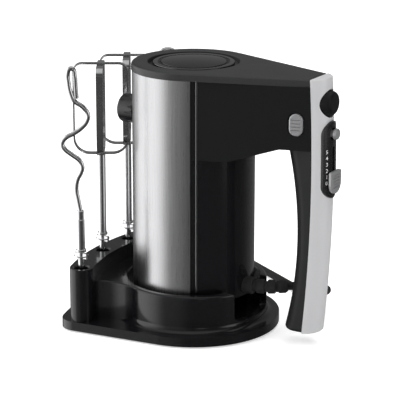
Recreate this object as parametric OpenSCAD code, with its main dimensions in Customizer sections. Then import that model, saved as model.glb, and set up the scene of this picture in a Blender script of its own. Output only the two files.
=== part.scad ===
// Hand mixer standing in its storage stand, with two beaters and two dough hooks.
// Sizes are in millimetres. The origin is on the surface, on the axis of the motor
// body. +X points to the handle, -X to the accessories and +Z up; the object is
// mirrored about y = 0. "Left" is the -Y side.

/* [Motor body] */
// Outside radius of the motor body
body_r = 45; // [40:1:54]
// Height of the body's lower end above the surface
body_z0 = 28; // [24:1:32]
// Height of the top of the mixer above the surface
top_z = 198; // [192:1:238]
// Wall of the plastic body parts
wall = 2.4; // [1.6:0.2:3.2]
// Thickness of the steel jacket
jacket_t = 0.6; // [0.4:0.1:0.8]
// Thickness of the nose cover
nose_h = 5.5; // [4.5:0.5:7]
// Radius of the round recess in the nose cover
vent_r = 33.5; // [28:0.5:36]

/* [Arm and handle] */
// Free depth for the fingers between body and grip
finger_gap = 45; // [38:1:54]
// Depth of the black inner grip at its slimmest
grip_depth = 14.5; // [12:0.5:18]
// Width of the handle
handle_w = 27; // [24:0.5:33]
// Bulge of the outer handle cover past its seam
crown = 9; // [7.5:0.5:11]
// Height of the handle's lower end above the surface
handle_z0 = 11; // [6:1:20]
// Height of the arm, from its underside at the grip to the top
arm_h = 51; // [46:1:60]

/* [Controls] */
// Radius of the eject button at its root
eject_r = 9.6; // [8:0.2:10.6]
// Travel of the eject button
eject_travel = 6; // [4:0.5:7]
// Travel of the speed slider, five steps
slide_travel = 22.5; // [18:0.5:25]
// Width of the control panel
panel_w = 19; // [17:0.5:21]

/* [Drive] */
// Distance between the two beater sockets
socket_pitch = 35; // [32:0.5:42]
// Number of teeth of each drive gear
gear_teeth = 22; // [18:1:26]
// Radius of the motor shaft
shaft_r = 2.6; // [2.4:0.1:3]
// Diameter of the round end of a beater or hook
shank_d = 4.6; // [4.2:0.1:5.6]

/* [Accessories] */
// Outside diameter of a beater's tube
tube_d = 6; // [5.6:0.2:7]
// Width across a beater's wire loop
loop_w = 41; // [34:1:44]
// Height of a beater's wire loop
loop_h = 69; // [60:1:74]
// Diameter of the dough hooks' wire
hook_wire_d = 3.4; // [3:0.2:4]

/* [Stand] */
// Height of the stand's ring wall
ring_h = 35.8; // [34:0.2:40]
// Height of the block that holds the accessories
block_h = 48; // [44:1:56]
// Radius of the stand's foot around the mixer
foot_r = 64; // [62:1:70]
// Clearance between the mixer's body and the stand's ring
ring_gap = 4.4; // [3:0.2:5]

/* [Hidden] */
$fn = 96;

cut = 1;          // how far a cutting shape runs past a face
slip = 0.1;       // gap between parts that slide or drop together
free_gap = 0.5;   // gap around parts that move freely
fine = 32;        // facets of small rounds

// ---- body ----
nose_z = top_z - nose_h;                 // underside of the nose cover
tube_r = body_r - jacket_t - slip;       // what the jacket wraps
inner_r = tube_r - wall;                 // inside of the body
jacket_edge = 62;                        // angle from +X where the jacket ends
trim_edge = 57;                          // far edge of the bright trim strip
trim_angle = 1.5;                        // angle that the strip covers
vent_depth = 3.2;                        // depth of the recess in the nose cover
dome_r = vent_r - 9.6;                   // radius of the smooth middle of the vent
arm_angle = trim_edge - trim_angle - 0.4; // where the arm's side leaves the cylinder
arm_lip = 12;                            // rise of the arm's underside towards the grip
arm_z = top_z - arm_h;                   // underside of the arm at the grip
arm_low_z = arm_z - arm_lip;             // and where it meets the body

// ---- handle: a seam arc that the grip and the cover share ----
seam_peak = body_r + finger_gap + grip_depth;
seam_r = 1100;
seam_z = top_z - 73;
grip_r = 270;
grip_z = seam_z - 43;
grip_peak = body_r + finger_gap;
crown_r = (pow(handle_w / 2, 2) + crown * crown) / (2 * crown);
function seam_x(z) = seam_peak - seam_r + sqrt(seam_r * seam_r - pow(z - seam_z, 2));
function grip_x(z) = grip_peak - grip_r + sqrt(grip_r * grip_r - pow(z - grip_z, 2));
cover_t = 2.2;    // wall of the handle cover
sleeve_t = 2.4;   // wall of the grip sleeve

// ---- controls ----
eject_z = top_z - 18;
turbo_z = top_z - 39.5;
turbo_r = 4;
turbo_travel = 2;                        // how far the turbo button goes in
panel_z0 = top_z - 86;
panel_z1 = top_z - 30.5;
panel_proud = 1.4;                       // the panel's front past the cover's crown
knob_z0 = panel_z0 + 3.6;                // lower end of the slider's knob at zero
knob_h = 16.4;
knob_w = 15;
side_z = top_z - 32.4;                   // centre of the side buttons
side_x = seam_peak - 11.3;

// ---- drive ----
gear_z = top_z - 37;                     // height of both spindles
spindle_y = socket_pitch / 2;
worm_r = 4;                              // pitch radius of the worm
gear_r = spindle_y - worm_r;             // pitch radius of each drive gear
tooth_pitch = 2 * PI * gear_r / gear_teeth;
thread_share = 0.31;                     // share of the pitch that a thread takes
gear_w = 7;
spindle_r = 5.2;
spindle_bore = shank_d / 2 + 0.1;
bush_r = 8;
boss_r = 10.5;
boss_x = -body_r - 4.6;                  // front of the socket collars
frame_x0 = -14;                          // front plate of the gear frame
frame_x1 = 12;                           // its rear plate
frame_t = 3;
frame_pin_gap = 0.06;                    // radial running clearance of shafts
fork_x = frame_x1 + frame_t + 12;        // front of the eject fork's cross bar

// ---- motor, measured down from the spindles ----
bearing_top_z = gear_z + 17.5;
bearing_low_z = gear_z - 113;
bearing_h = 6;
bearing_r = 8;
stator_z0 = gear_z - 88;
stator_h = 38;
stator_r = inner_r - 3.5;
bore_r = 19;
rotor_r = bore_r - 0.6;
fan_z = gear_z - 35;
fan_h = 9;
fan_r = inner_r - 5;
commutator_z = gear_z - 104;
commutator_r = 10;

// ---- stand ----
foot_h = 8;
rim_z = 1.2;                             // the shell's rim, just above the rubber feet
ring_in = body_r + ring_gap;
ring_out = ring_in + 5;
notch_half = 27;                         // half angle of the opening under the handle
hole_r = 5.3;
block_half = 8.6;                        // half thickness of the accessory block
block_curve = 179;                       // radius of the line through the four holes
beater_x = -body_r - 25;
block_cx = beater_x + block_curve;
hook_y = 61.5;
hook_x = block_cx - sqrt(block_curve * block_curve - hook_y * hook_y);
hole_z = 22;                             // floor of the accessory holes
ear_z = hole_z + 35;                     // drive ears of the beaters and hooks
loop_z0 = ear_z + 66;                    // lower end of the beaters' loops
strip_t = 1;                             // thickness of the loops' steel strip
strip_w = 5;
hook_turn = 31.5;                        // angle of the plane that each hook's wire lies in
back_r = block_curve + 16.2;             // radius of the foot's curved back
corner_r = 14;                           // its rounded corners
corner_y = foot_r + 7.5 - corner_r;
corner_x = block_cx - sqrt(pow(back_r - corner_r, 2) - corner_y * corner_y);
shell_t = 2.5;
FEET = [[0, 0], [-64, -52], [-64, 52], [44, -30], [44, 30]];
SCREWS = [[-75, -40], [-75, 40], [30, -40], [30, 40]];
foot_pad_r = 7;

// ---- cord ----
cord_d = 6;
guard_z = body_z0 + 7.3;                 // height where the lead leaves the body
guard_bend = 42;                         // radius of the guard's curve
guard_turn = 45;                         // angle that it turns through
guard_x = body_r - 2;
coil_x = -66;
coil_y = 114;
coil_in = 21;
coil_out = 39;
coil_h = 12;
guard_end = [guard_x + guard_bend * sin(guard_turn),
             guard_bend * (1 - cos(guard_turn)), guard_z];
// The lead's own route, from the guard down to the surface and along it to the coil
LEAD = [
  guard_end, [79.4, 21, 34.3], [83.6, 31.1, 31.8], [85, 42, 28], [83.6, 52.9, 23.4],
  [79.4, 63, 18.5], [72.7, 71.7, 13.6], [64, 78.4, 9.2], [51.1, 86.2, 4.8],
  [38.2, 93.8, 3.1], [22, 103.4, 3], [6, 113, 3], [-10, 122.5, 3], [-28, 133.3, 3],
  [-48, 145.2, 3],
];
// The short tail that rises from the coil's upper turn to the plug lying on the coil
TAIL = [
  [-66, 147, 13], [-76, 145, 15.3], [-84.4, 139.4, 17.4], [-90, 131, 18.9], [-92, 121, 19.5],
];
plug_at = TAIL[len(TAIL) - 1];
plug_turn = -90;                         // the plug points to -Y
plug_l = 36;
plug_w = 25;
plug_h = 13.6;
pin_gap = 18.6;                          // between the plug's two pins
pin_l = 19;
pin_d = 4;

// ---- helpers ----
module ring_sector(r0, r1, z0, h, a0, a1) {
  rotate([0, 0, a0]) rotate_extrude(angle = a1 - a0)
    translate([r0, z0]) square([r1 - r0, h]);
}

module tube(r0, r1, z0, h) {
  translate([0, 0, z0]) difference() {
    cylinder(r = r1, h = h);
    translate([0, 0, -cut]) cylinder(r = r0, h = h + 2 * cut);
  }
}

// A cylinder along +X from x0 to x1
module rod_x(r, x0, x1, y, z, fn = fine) {
  translate([x0, y, z]) rotate([0, 90, 0]) cylinder(r = r, h = x1 - x0, $fn = fn);
}

// A turned piece about an axis along +X; its outline is a list of [radius, x]
module turned_x(outline, y, z) {
  translate([0, y, z]) rotate([0, 90, 0]) rotate_extrude() polygon(outline);
}

module block(x0, x1, y0, y1, z0, z1) {
  translate([x0, y0, z0]) cube([x1 - x0, y1 - y0, z1 - z0]);
}

// A side outline in (x, z), given the width w across y
module side_slab(w) {
  translate([0, w / 2, 0]) rotate([90, 0, 0]) linear_extrude(w) children();
}

// Rounded rectangle, its centre at the origin
module round_rect(w, h, r) {
  square([w - 2 * r, h], center = true);
  square([w, h - 2 * r], center = true);
  for (x = [-1, 1], y = [-1, 1])
    translate([x * (w / 2 - r), y * (h / 2 - r)]) circle(r, $fn = fine);
}

// A slot shape across x, from z0 to z1 with round ends
module obround(w, z0, z1) {
  translate([0, z0 + w / 2]) circle(w / 2, $fn = 48);
  translate([0, z1 - w / 2]) circle(w / 2, $fn = 48);
  translate([-w / 2, z0 + w / 2]) square([w, z1 - z0 - w]);
}

// A prism along +X of a (y, z) outline
module prism_x(x0, x1) {
  translate([x0, 0, 0]) rotate([90, 0, 90]) linear_extrude(x1 - x0) children();
}

// Round bar swept along points, with its rings turned to the local direction
function unit(v) = v / norm(v);
function way(p, i) = unit(p[min(i + 1, len(p) - 1)] - p[max(i - 1, 0)]);
function across(d) = unit(cross(d, abs(d[2]) > 0.9 ? [1, 0.3, 0] : [0, 0, 1]));
function smooth_at(p, t) =
  let (i = min(floor(t), len(p) - 2), u = t - i,
       a = p[max(i - 1, 0)], b = p[i], c = p[i + 1], d = p[min(i + 2, len(p) - 1)])
  0.5 * (2 * b + (c - a) * u + (2 * a - 5 * b + 4 * c - d) * u * u
         + (3 * b - a - 3 * c + d) * u * u * u);
function smoothed(p, n) = [for (k = [0 : n]) smooth_at(p, k * (len(p) - 1) / n)];
function carried(p, i, prev) =
  let (d = way(p, i), v = prev - d * (prev * d)) unit(v);
function frames(p, i = 0, prev = undef) =
  i == len(p) ? [] :
  let (v = is_undef(prev) ? across(way(p, 0)) : carried(p, i, prev))
  concat([v], frames(p, i + 1, v));
module swept(p, r, sides) {
  side_v = frames(p);
  rings = [for (i = [0 : len(p) - 1])
    let (d = way(p, i), v = side_v[i], w = cross(d, v))
    [for (k = [0 : sides - 1])
      p[i] + r * (v * cos(360 * k / sides) + w * sin(360 * k / sides))]];
  last = len(p) - 1;
  polyhedron(
    points = [for (ring = rings) for (q = ring) q],
    faces = concat(
      [[for (k = [0 : sides - 1]) k]],
      [[for (k = [sides - 1 : -1 : 0]) last * sides + k]],
      [for (i = [0 : last - 1]) for (k = [0 : sides - 1])
        let (n = (k + 1) % sides)
        [i * sides + n, i * sides + k, (i + 1) * sides + k, (i + 1) * sides + n]]));
}

// ---- outlines ----
// Plan of the arm and body: a circle with flat sides that run to the arm's end
module arm_plan(inset) {
  r = body_r - inset;
  end_y = handle_w / 2 - inset;
  circle(r);
  polygon([
    [r * cos(arm_angle), -r * sin(arm_angle)], [seam_peak, -end_y],
    [seam_peak, end_y], [r * cos(arm_angle), r * sin(arm_angle)],
  ]);
}

// The same with flat sides that leave the circle tangentially
module nose_plan(inset) {
  r = body_r + 0.5 - inset;
  end_y = handle_w / 2 - inset;
  end_x = seam_x(top_z) - 0.1;
  reach = norm([end_x, end_y]);
  turn = acos(r / reach) + atan2(end_y, end_x);
  near = r - 0.02;
  circle(r);
  polygon([
    [near * cos(turn), -near * sin(turn)], [end_x, -end_y],
    [end_x, end_y], [near * cos(turn), near * sin(turn)],
  ]);
}

// Everything inside the seam arc, as a wide disc lying across y
module inside_seam(inset = 0) {
  translate([seam_peak - seam_r, 0, seam_z]) rotate([90, 0, 0])
    cylinder(r = seam_r - inset, h = 2 * body_r + 20, center = true, $fn = 720);
}

// Side profile of the arm above its underside, raised by lift
module arm_side(lift) {
  polygon([
    [-body_r - cut, arm_low_z + lift], [body_r - lift, arm_low_z + lift],
    [grip_x(arm_z), arm_z + lift], [seam_peak + cut, arm_z + lift],
    [seam_peak + cut, nose_z + (lift > 0 ? cut : 0)],
    [-body_r - cut, nose_z + (lift > 0 ? cut : 0)],
  ]);
}

// ---- mixer casing ----
module arm_half(side) {
  color([0.08, 0.08, 0.09]) intersection() {
    difference() {
      intersection() {
        translate([0, 0, arm_low_z]) linear_extrude(nose_z - arm_low_z) arm_plan(0);
        side_slab(2 * body_r) arm_side(0);
        inside_seam(slip);
      }
      intersection() {
        translate([0, 0, arm_low_z - cut]) linear_extrude(arm_h + arm_lip)
          arm_plan(wall + jacket_t + slip);
        side_slab(2 * body_r) arm_side(wall);
      }
      translate([0, 0, arm_low_z - cut]) cylinder(r = inner_r, h = arm_h + arm_lip + 2 * cut);
      ring_sector(tube_r, body_r + cut, arm_low_z - cut, arm_h + arm_lip + 2 * cut,
                  arm_angle, 360 - arm_angle);
      for (y = [-spindle_y, spindle_y])
        rod_x(bush_r + slip, -body_r - cut, -inner_r + 20, y, gear_z, 96);
      block(seam_peak - 12, seam_peak + cut, -11, 11, arm_z - cut, arm_z + wall + cut);
      for (s = [-1, 1])
        translate([side_x, s * (handle_w / 2 + 8), side_z]) rotate([90, 0, 0])
          linear_extrude(20, center = true) obround(10 + 2 * free_gap, -8 - free_gap, 8 + free_gap);
    }
    translate([-body_r - cut, side > 0 ? 0 : -2 * body_r, 0])
      cube([3.5 * body_r, 2 * body_r, top_z]);
  }
}
module arm_left() { arm_half(-1); }
module arm_right() { arm_half(1); }

module motor_tube() {
  color([0.03, 0.03, 0.035]) difference() {
    translate([0, 0, body_z0]) cylinder(r = body_r, h = arm_low_z - body_z0);
    translate([0, 0, body_z0 - cut]) cylinder(r = inner_r, h = arm_low_z - body_z0 + 2 * cut);
    ring_sector(tube_r, body_r + cut, body_z0 + 1, arm_low_z, arm_angle, 360 - arm_angle);
    rod_x(4, inner_r - 3, body_r + cut, 0, guard_z);
    for (a = [65 : 50 : 295]) rotate([0, 0, a])
      rod_x(1.3, tube_r - wall - cut, tube_r - 0.9, 0, body_z0 + 3);
  }
}

module steel_jacket() {
  color([0.72, 0.72, 0.73]) difference() {
    ring_sector(body_r - jacket_t, body_r, body_z0 + 1.1, nose_z - body_z0 - 1.2,
                jacket_edge, 360 - jacket_edge);
    for (y = [-spindle_y, spindle_y])
      rod_x(bush_r + slip, -body_r - cut, -body_r + 10, y, gear_z, 96);
  }
}

module trim_strips() {
  color([0.85, 0.85, 0.86]) for (s = [-1, 1]) {
    low = s > 0 ? trim_edge - trim_angle : -trim_edge;
    ring_sector(body_r - jacket_t, body_r + 0.3, body_z0 + 1.1, nose_z - body_z0 - 1.2,
                low, low + trim_angle);
  }
}

module nose_cover() {
  // the rounded upper rim, as [inset, lower height, upper height]
  steps = [[0, 0, nose_h - 1.9], [0.35, nose_h - 1.9, nose_h - 1.2], [0.9, nose_h - 1.2, nose_h - 0.6],
           [1.7, nose_h - 0.6, nose_h - 0.25], [2.9, nose_h - 0.25, nose_h]];
  color([0.16, 0.16, 0.17]) difference() {
    for (s = steps) translate([0, 0, nose_z + s[1]]) linear_extrude(s[2] - s[1]) nose_plan(s[0]);
    translate([0, 0, top_z - vent_depth]) cylinder(r = vent_r, h = vent_depth + cut);
    for (a = [0 : 15 : 345]) rotate([0, 0, a])
      block(vent_r - 11, vent_r - 5, -1.1, 1.1, nose_z - cut, top_z - vent_depth + cut);
  }
}

module vent_disc() {
  floor_z = top_z - vent_depth;
  color([0.12, 0.12, 0.13]) difference() {
    union() {
      tube(dome_r + slip, vent_r - 3.6, floor_z, vent_depth - 0.2);
      translate([0, 0, floor_z]) cylinder(r = dome_r + slip, h = 1.4);
    }
    for (a = [0 : 7.5 : 352.5]) rotate([0, 0, a])
      block(dome_r - 1, dome_r + 2.3, -0.8, 0.8, top_z - 1.6, top_z + cut);
  }
}

module vent_dome() {
  rise = 1.6;
  ball = (dome_r * dome_r + rise * rise) / (2 * rise);
  color([0.1, 0.1, 0.11]) rotate_extrude() intersection() {
    translate([0, top_z - vent_depth + 1.4]) square([dome_r, 4]);
    translate([0, top_z - 0.2 + rise - ball]) circle(ball, $fn = 720);
  }
}

module end_cap() {
  color([0.05, 0.05, 0.05]) difference() {
    union() {
      translate([0, 0, body_z0]) cylinder(r = inner_r - slip, h = wall);
      tube(bearing_r + 2, bearing_r + 4, body_z0, 8);
    }
    for (a = [0 : 30 : 330]) rotate([0, 0, a]) block(18, 34, -1.5, 1.5, body_z0 - cut, body_z0 + wall + cut);
  }
}

// A bar of the handle's cover section, thicker by grow, bent along the seam arc
module crown_bar(grow, z0, z1) {
  a0 = asin((z0 - seam_z) / (seam_r + crown));
  a1 = asin((z1 - seam_z) / (seam_r + crown));
  translate([seam_peak - seam_r, 0, seam_z]) rotate([90, 0, 0]) rotate([0, 0, a0])
    rotate_extrude(angle = a1 - a0, $fn = 720) intersection() {
      translate([seam_r + crown - crown_r, 0]) circle(crown_r + grow, $fn = 96);
      translate([seam_r, -handle_w]) square([3 * crown, 2 * handle_w]);
    }
}

module panel_window(gap) {
  prism_x(seam_peak - 20, seam_peak + 30) obround(panel_w + 2 * gap, panel_z0 - gap, panel_z1 + gap);
}

module handle_cover() {
  color([0.78, 0.78, 0.8]) difference() {
    intersection() {
      crown_bar(0, handle_z0 - 5, top_z + 5);
      block(seam_peak - 30, seam_peak + 30, -handle_w, handle_w, handle_z0, top_z);
    }
    intersection() {
      crown_bar(-cover_t, handle_z0 - 5, top_z + 5);
      block(seam_peak - 30, seam_peak + 30, -handle_w, handle_w, handle_z0 + cover_t, top_z - cover_t);
    }
    panel_window(slip);
    rod_x(eject_r + free_gap, seam_peak - 20, seam_peak + 30, 0, eject_z, 96);
  }
}

module grip_body(inset) {
  r = handle_w / 2 - 3 - inset;
  w = handle_w / 2 - inset;
  intersection() {
    translate([grip_peak - grip_r, 0, grip_z]) rotate([90, 0, 0])
      rotate([0, 0, -32]) rotate_extrude(angle = 64, $fn = 720) {
        translate([grip_r + inset + r, w - r]) circle(r, $fn = 64);
        translate([grip_r + inset + r, r - w]) circle(r, $fn = 64);
        translate([grip_r + inset + r, -w]) square([40, 2 * w]);
        translate([grip_r + inset, r - w]) square([20, 2 * (w - r)]);
      }
    inside_seam(inset > 0 ? -cut : slip);
    block(body_r, seam_peak + 30, -handle_w, handle_w,
          handle_z0 + (inset > 0 ? sleeve_t : 0), arm_z - slip + (inset > 0 ? cut : 0));
  }
}

module grip_sleeve() {
  color([0.07, 0.07, 0.08]) difference() {
    grip_body(0);
    grip_body(sleeve_t);
  }
}

module control_panel() {
  color([0.06, 0.06, 0.07]) difference() {
    intersection() {
      crown_bar(panel_proud, panel_z0 - 5, panel_z1 + 5);
      panel_window(0);
      block(seam_peak + 3, seam_peak + 30, -handle_w, handle_w, panel_z0 - 5, panel_z1 + 5);
    }
    prism_x(seam_peak - cut, seam_peak + 30)
      obround(2.6, knob_z0 + knob_h / 2 - 3.2, knob_z0 + knob_h / 2 + slide_travel + 3.2);
    rod_x(turbo_r + 0.5, seam_peak - cut, seam_peak + 30, 0, turbo_z);
  }
}

module socket_collar(side) {
  y = side * spindle_y;
  color([0.05, 0.05, 0.055]) translate([0, y, gear_z]) rotate([0, -90, 0]) rotate_extrude()
    difference() {
      union() {
        translate([0, 36]) square([boss_r - 2, -boss_x - 36 - 2]);
        translate([0, body_r - 3.8]) square([boss_r, 6.4]);
        translate([boss_r - 2, -boss_x - 2]) circle(2, $fn = fine);
        translate([0, -boss_x - 2.5]) square([boss_r - 2, 2.5]);
      }
      translate([-cut, 30]) square([spindle_r + free_gap + cut, 40]);
      translate([bush_r, 30]) square([10, body_r - 30]);
    }
}
module socket_collar_left() { socket_collar(-1); }
module socket_collar_right() { socket_collar(1); }

// ---- motor, still parts ----
module stator_core() {
  color([0.45, 0.45, 0.47]) translate([0, 0, stator_z0]) difference() {
    intersection() {
      cylinder(r = stator_r, h = stator_h);
      translate([-stator_r, -stator_r * 0.8, 0]) cube([2 * stator_r, 1.6 * stator_r, stator_h]);
    }
    translate([0, 0, -cut]) cylinder(r = bore_r, h = stator_h + 2 * cut);
    for (s = [-1, 1]) translate([s * (bore_r + 4.6), 0, -cut])
      linear_extrude(stator_h + 2 * cut) round_rect(7, 25, 1.5);
    for (x = [-1, 1], y = [-1, 1]) translate([x * 25, y * 20, -cut])
      cylinder(r = 2.2, h = stator_h + 2 * cut);
  }
}

module field_coils() {
  color([0.72, 0.38, 0.16]) for (s = [-1, 1]) difference() {
    translate([s * (bore_r + 4.6), 0, stator_z0 - 8]) linear_extrude(stator_h + 16)
      round_rect(6.6, 24.6, 1.4);
    translate([0, 0, stator_z0 - 20]) cylinder(r = bore_r + 0.4, h = stator_h + 40);
  }
}

module spider(z, h, r_hub, hole) {
  difference() {
    union() {
      translate([0, 0, z]) cylinder(r = r_hub, h = h);
      block(-inner_r + 0.5, inner_r - 0.5, -7, 7, z, z + 2.4);
    }
    translate([0, 0, z - cut]) cylinder(r = hole, h = h + 2 * cut);
    for (s = [-1, 1]) translate([s * 34, 0, z - cut]) cylinder(r = 1.7, h = h + 2 * cut, $fn = fine);
  }
}

module brush_bracket() {
  color([0.2, 0.2, 0.22]) intersection() {
    spider(bearing_low_z, bearing_h, bearing_r + 2.4, bearing_r);
    translate([0, 0, bearing_low_z - cut]) cylinder(r = inner_r - 0.3, h = 30);
  }
}

module brush_holders() {
  color([0.75, 0.6, 0.3]) for (s = [-1, 1]) difference() {
    block(s > 0 ? 12 : -30, s > 0 ? 30 : -12, -5, 5, bearing_low_z + 2.4, commutator_z + 7.8);
    block(s > 0 ? 11 : -27, s > 0 ? 27 : -11, -3.1, 3.1, commutator_z - 1.1, commutator_z + 7.1);
  }
}

module carbon_brushes() {
  color([0.12, 0.12, 0.12]) for (s = [-1, 1]) difference() {
    block(s > 0 ? 9.5 : -25, s > 0 ? 25 : -9.5, -3, 3, commutator_z - 1, commutator_z + 7);
    translate([0, 0, commutator_z - 5]) cylinder(r = commutator_r + 0.1, h = 20);
  }
}

module motor_bracket() {
  z = stator_z0 + stator_h + 9.5;
  color([0.62, 0.62, 0.64]) difference() {
    union() {
      intersection() {
        translate([0, 0, z]) cylinder(r = inner_r - 0.3, h = 2.4);
        translate([-inner_r, -24, z]) cube([2 * inner_r, 48, 2.4]);
      }
      for (x = [-1, 1], y = [-1, 1]) translate([x * 25, y * 20, stator_z0 + stator_h])
        cylinder(r = 4, h = 10);
    }
    translate([0, 0, z - cut]) cylinder(r = 12, h = 5);
    for (x = [-1, 1], y = [-1, 1]) translate([x * 25, y * 20, z - 12]) cylinder(r = 2.2, h = 16);
  }
}

module shaft_bearings() {
  color([0.7, 0.55, 0.3]) for (z = [bearing_low_z, bearing_top_z])
    tube(shaft_r + frame_pin_gap, bearing_r, z, bearing_h);
}

module gear_frame() {
  top = bearing_top_z;
  low = gear_z - 21;
  color([0.6, 0.6, 0.62]) difference() {
    union() {
      for (x = [frame_x0, frame_x1]) block(x, x + frame_t, -28, 28, low, top + 3);
      block(frame_x0, frame_x1 + frame_t, -28, 28, top, top + bearing_h / 2);
      translate([0, 0, top]) cylinder(r = bearing_r + 2.4, h = bearing_h);
      for (y = [-28, 25]) block(frame_x0, frame_x1 + frame_t, y, y + 3, low, low + 8);
    }
    translate([0, 0, top - cut]) cylinder(r = bearing_r, h = bearing_h + 2 * cut);
    for (y = [-spindle_y, spindle_y])
      rod_x(bush_r, frame_x0 - cut, frame_x1 + frame_t + cut, y, gear_z, 96);
  }
}

module spindle_bushes() {
  color([0.72, 0.5, 0.25]) for (y = [-spindle_y, spindle_y], x = [frame_x0, frame_x1])
    difference() {
      rod_x(bush_r, x, x + frame_t, y, gear_z, 96);
      rod_x(spindle_r + frame_pin_gap, x - cut, x + frame_t + cut, y, gear_z, 96);
    }
}

module speed_board() {
  x = seam_x(arm_z) - 3;
  color([0.1, 0.35, 0.2]) block(x - 1.6, x, -9, 9, panel_z0, turbo_z - 5);
  color([0.12, 0.12, 0.13]) block(x, x + 3, -4, 4, knob_z0, turbo_z - 5);
}

module turbo_switch() {
  x = seam_x(turbo_z);
  front = min(x - 1, seam_peak - 0.8 - turbo_travel - slip);
  color([0.25, 0.25, 0.27]) block(front - 5, front, -5, 5, turbo_z - 4, turbo_z + 4);
}

module housing_screws() {
  color([0.6, 0.6, 0.62]) for (x = [-1, 1], y = [-1, 1]) {
    z = stator_z0 + stator_h + 11.9;
    translate([x * 25, y * 20, stator_z0 - 3]) cylinder(r = 2, h = z - stator_z0 + 3);
    translate([x * 25, y * 20, z]) cylinder(r = 3.6, h = 2);
    translate([x * 25, y * 20, stator_z0 - 3]) cylinder(r = 3.6, h = 3);
  }
}

// ---- mains lead ----
module cord_clamp() {
  color([0.1, 0.1, 0.1]) difference() {
    block(inner_r - 12, inner_r - 5, -9, 9, body_z0 + wall, guard_z + 7);
    rod_x(cord_d / 2 + 0.2, inner_r - 14, inner_r, 0, guard_z);
  }
}

// Ribbed bend guard: short beads on a slimmer core, all on one bend
module cord_guard() {
  beads = [[6.4, 0.02, 0.26], [5.4, 0.32, 0.5], [5.2, 0.56, 0.74], [4.9, 0.8, 0.98]];
  color([0.05, 0.05, 0.05]) difference() {
    translate([guard_x, guard_bend, guard_z]) rotate([0, 0, -90]) {
      rotate_extrude(angle = guard_turn) translate([guard_bend, 0]) circle(4.1, $fn = fine);
      for (b = beads) rotate([0, 0, guard_turn * b[1]])
        rotate_extrude(angle = guard_turn * (b[2] - b[1])) translate([guard_bend, 0])
          circle(b[0], $fn = fine);
    }
    translate([0, 0, guard_z - 20]) cylinder(r = body_r + 0.02, h = 40);
  }
  color([0.05, 0.05, 0.05]) rod_x(3.9, inner_r - 2.5, body_r + 3, 0, guard_z);
}

module power_cord() {
  color([0.04, 0.04, 0.04]) {
    swept(smoothed(LEAD, 34), cord_d / 2, 10);
    swept(smoothed(TAIL, 8), cord_d / 2, 10);
  }
}

module cord_coil() {
  color([0.04, 0.04, 0.04]) translate([coil_x, coil_y, 0]) tube(coil_in, coil_out, 0, coil_h);
}

module plug_body() {
  taper = 35;                            // angle of the corners beside the cord
  reach = 24;
  color([0.05, 0.05, 0.05]) translate(plug_at) rotate([0, 0, plug_turn]) {
    difference() {
      translate([0, -plug_w / 2, -plug_h / 2]) cube([plug_l, plug_w, plug_h]);
      for (s = [-1, 1]) translate([-cut, s * plug_w / 2, 0]) rotate([0, 0, s * taper])
        translate([-reach / 4, s > 0 ? 0 : -reach / 2, -plug_h]) cube([reach, reach / 2, 2 * plug_h]);
    }
    rod_x(cord_d / 2 + 1.6, -8, 2, 0, 0);
  }
}

module plug_pins() {
  color([0.8, 0.8, 0.78]) translate(plug_at) rotate([0, 0, plug_turn]) for (s = [-1, 1])
    rod_x(pin_d / 2, plug_l - 8, plug_l + pin_l, s * pin_gap / 2, 0);
}

// ---- motor, turning parts ----
module worm_shaft() {
  starts_z = gear_z - 2.25 * tooth_pitch;
  height = 4.5 * tooth_pitch;
  half = 180 * thread_share;
  tip = worm_r + 1;
  color([0.65, 0.65, 0.67]) {
    translate([0, 0, bearing_low_z - 2])
      cylinder(r = shaft_r, h = bearing_top_z + bearing_h - bearing_low_z + 3);
    translate([0, 0, starts_z])
      linear_extrude(height, twist = -360 * height / tooth_pitch, slices = 72, $fn = 8)
        polygon(concat([[0, 0]], [for (k = [0 : 6]) let (a = -half + half * k / 3) tip * [cos(a), sin(a)]]));
  }
}

module rotor_core() {
  color([0.4, 0.4, 0.42]) difference() {
    tube(shaft_r, rotor_r, stator_z0 + 1, stator_h - 2);
    for (a = [0 : 30 : 330]) rotate([0, 0, a])
      block(rotor_r - 7, rotor_r + cut, -1.2, 1.2, stator_z0, stator_z0 + stator_h);
  }
}

module rotor_windings() {
  color([0.75, 0.42, 0.18]) {
    tube(shaft_r, rotor_r - 3, stator_z0 - 5.5, 6.5);
    tube(shaft_r, rotor_r - 3, stator_z0 + stator_h - 1, 6.5);
  }
}

module commutator() {
  color([0.78, 0.48, 0.25]) difference() {
    tube(shaft_r, commutator_r, commutator_z - 2, 11);
    for (a = [0 : 15 : 345]) rotate([0, 0, a])
      block(commutator_r - 0.8, commutator_r + cut, -0.25, 0.25, commutator_z - 4, commutator_z + 12);
  }
}

module cooling_fan() {
  color([0.85, 0.85, 0.83]) {
    tube(shaft_r, 7, fan_z, fan_h);
    tube(7, fan_r, fan_z, 1.4);
    for (a = [0 : 30 : 330]) rotate([0, 0, a]) block(6.8, fan_r - 1, -0.7, 0.7, fan_z + 1.3, fan_z + fan_h);
  }
}

module gear_outline(turn) {
  step = 360 / gear_teeth;
  root = gear_r - 1.4;
  tip = gear_r + 0.9;
  wide = 180 * 0.36 / gear_teeth;
  slim = 180 * 0.2 / gear_teeth;
  polygon([for (i = [0 : gear_teeth - 1]) for (q = [[root, -wide], [tip, -slim], [tip, slim], [root, wide]])
    q[0] * [cos(turn + i * step + q[1]), sin(turn + i * step + q[1])]]);
}

module drive_gear(side) {
  turn = side > 0 ? 180 / gear_teeth : 0;
  color([0.92, 0.9, 0.84]) difference() {
    translate([0, side * spindle_y, gear_z]) prism_x(-gear_w / 2, gear_w / 2) gear_outline(turn);
    rod_x(spindle_r, -gear_w, gear_w, side * spindle_y, gear_z, 96);
  }
}
module drive_gear_left() { drive_gear(-1); }
module drive_gear_right() { drive_gear(1); }

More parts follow.
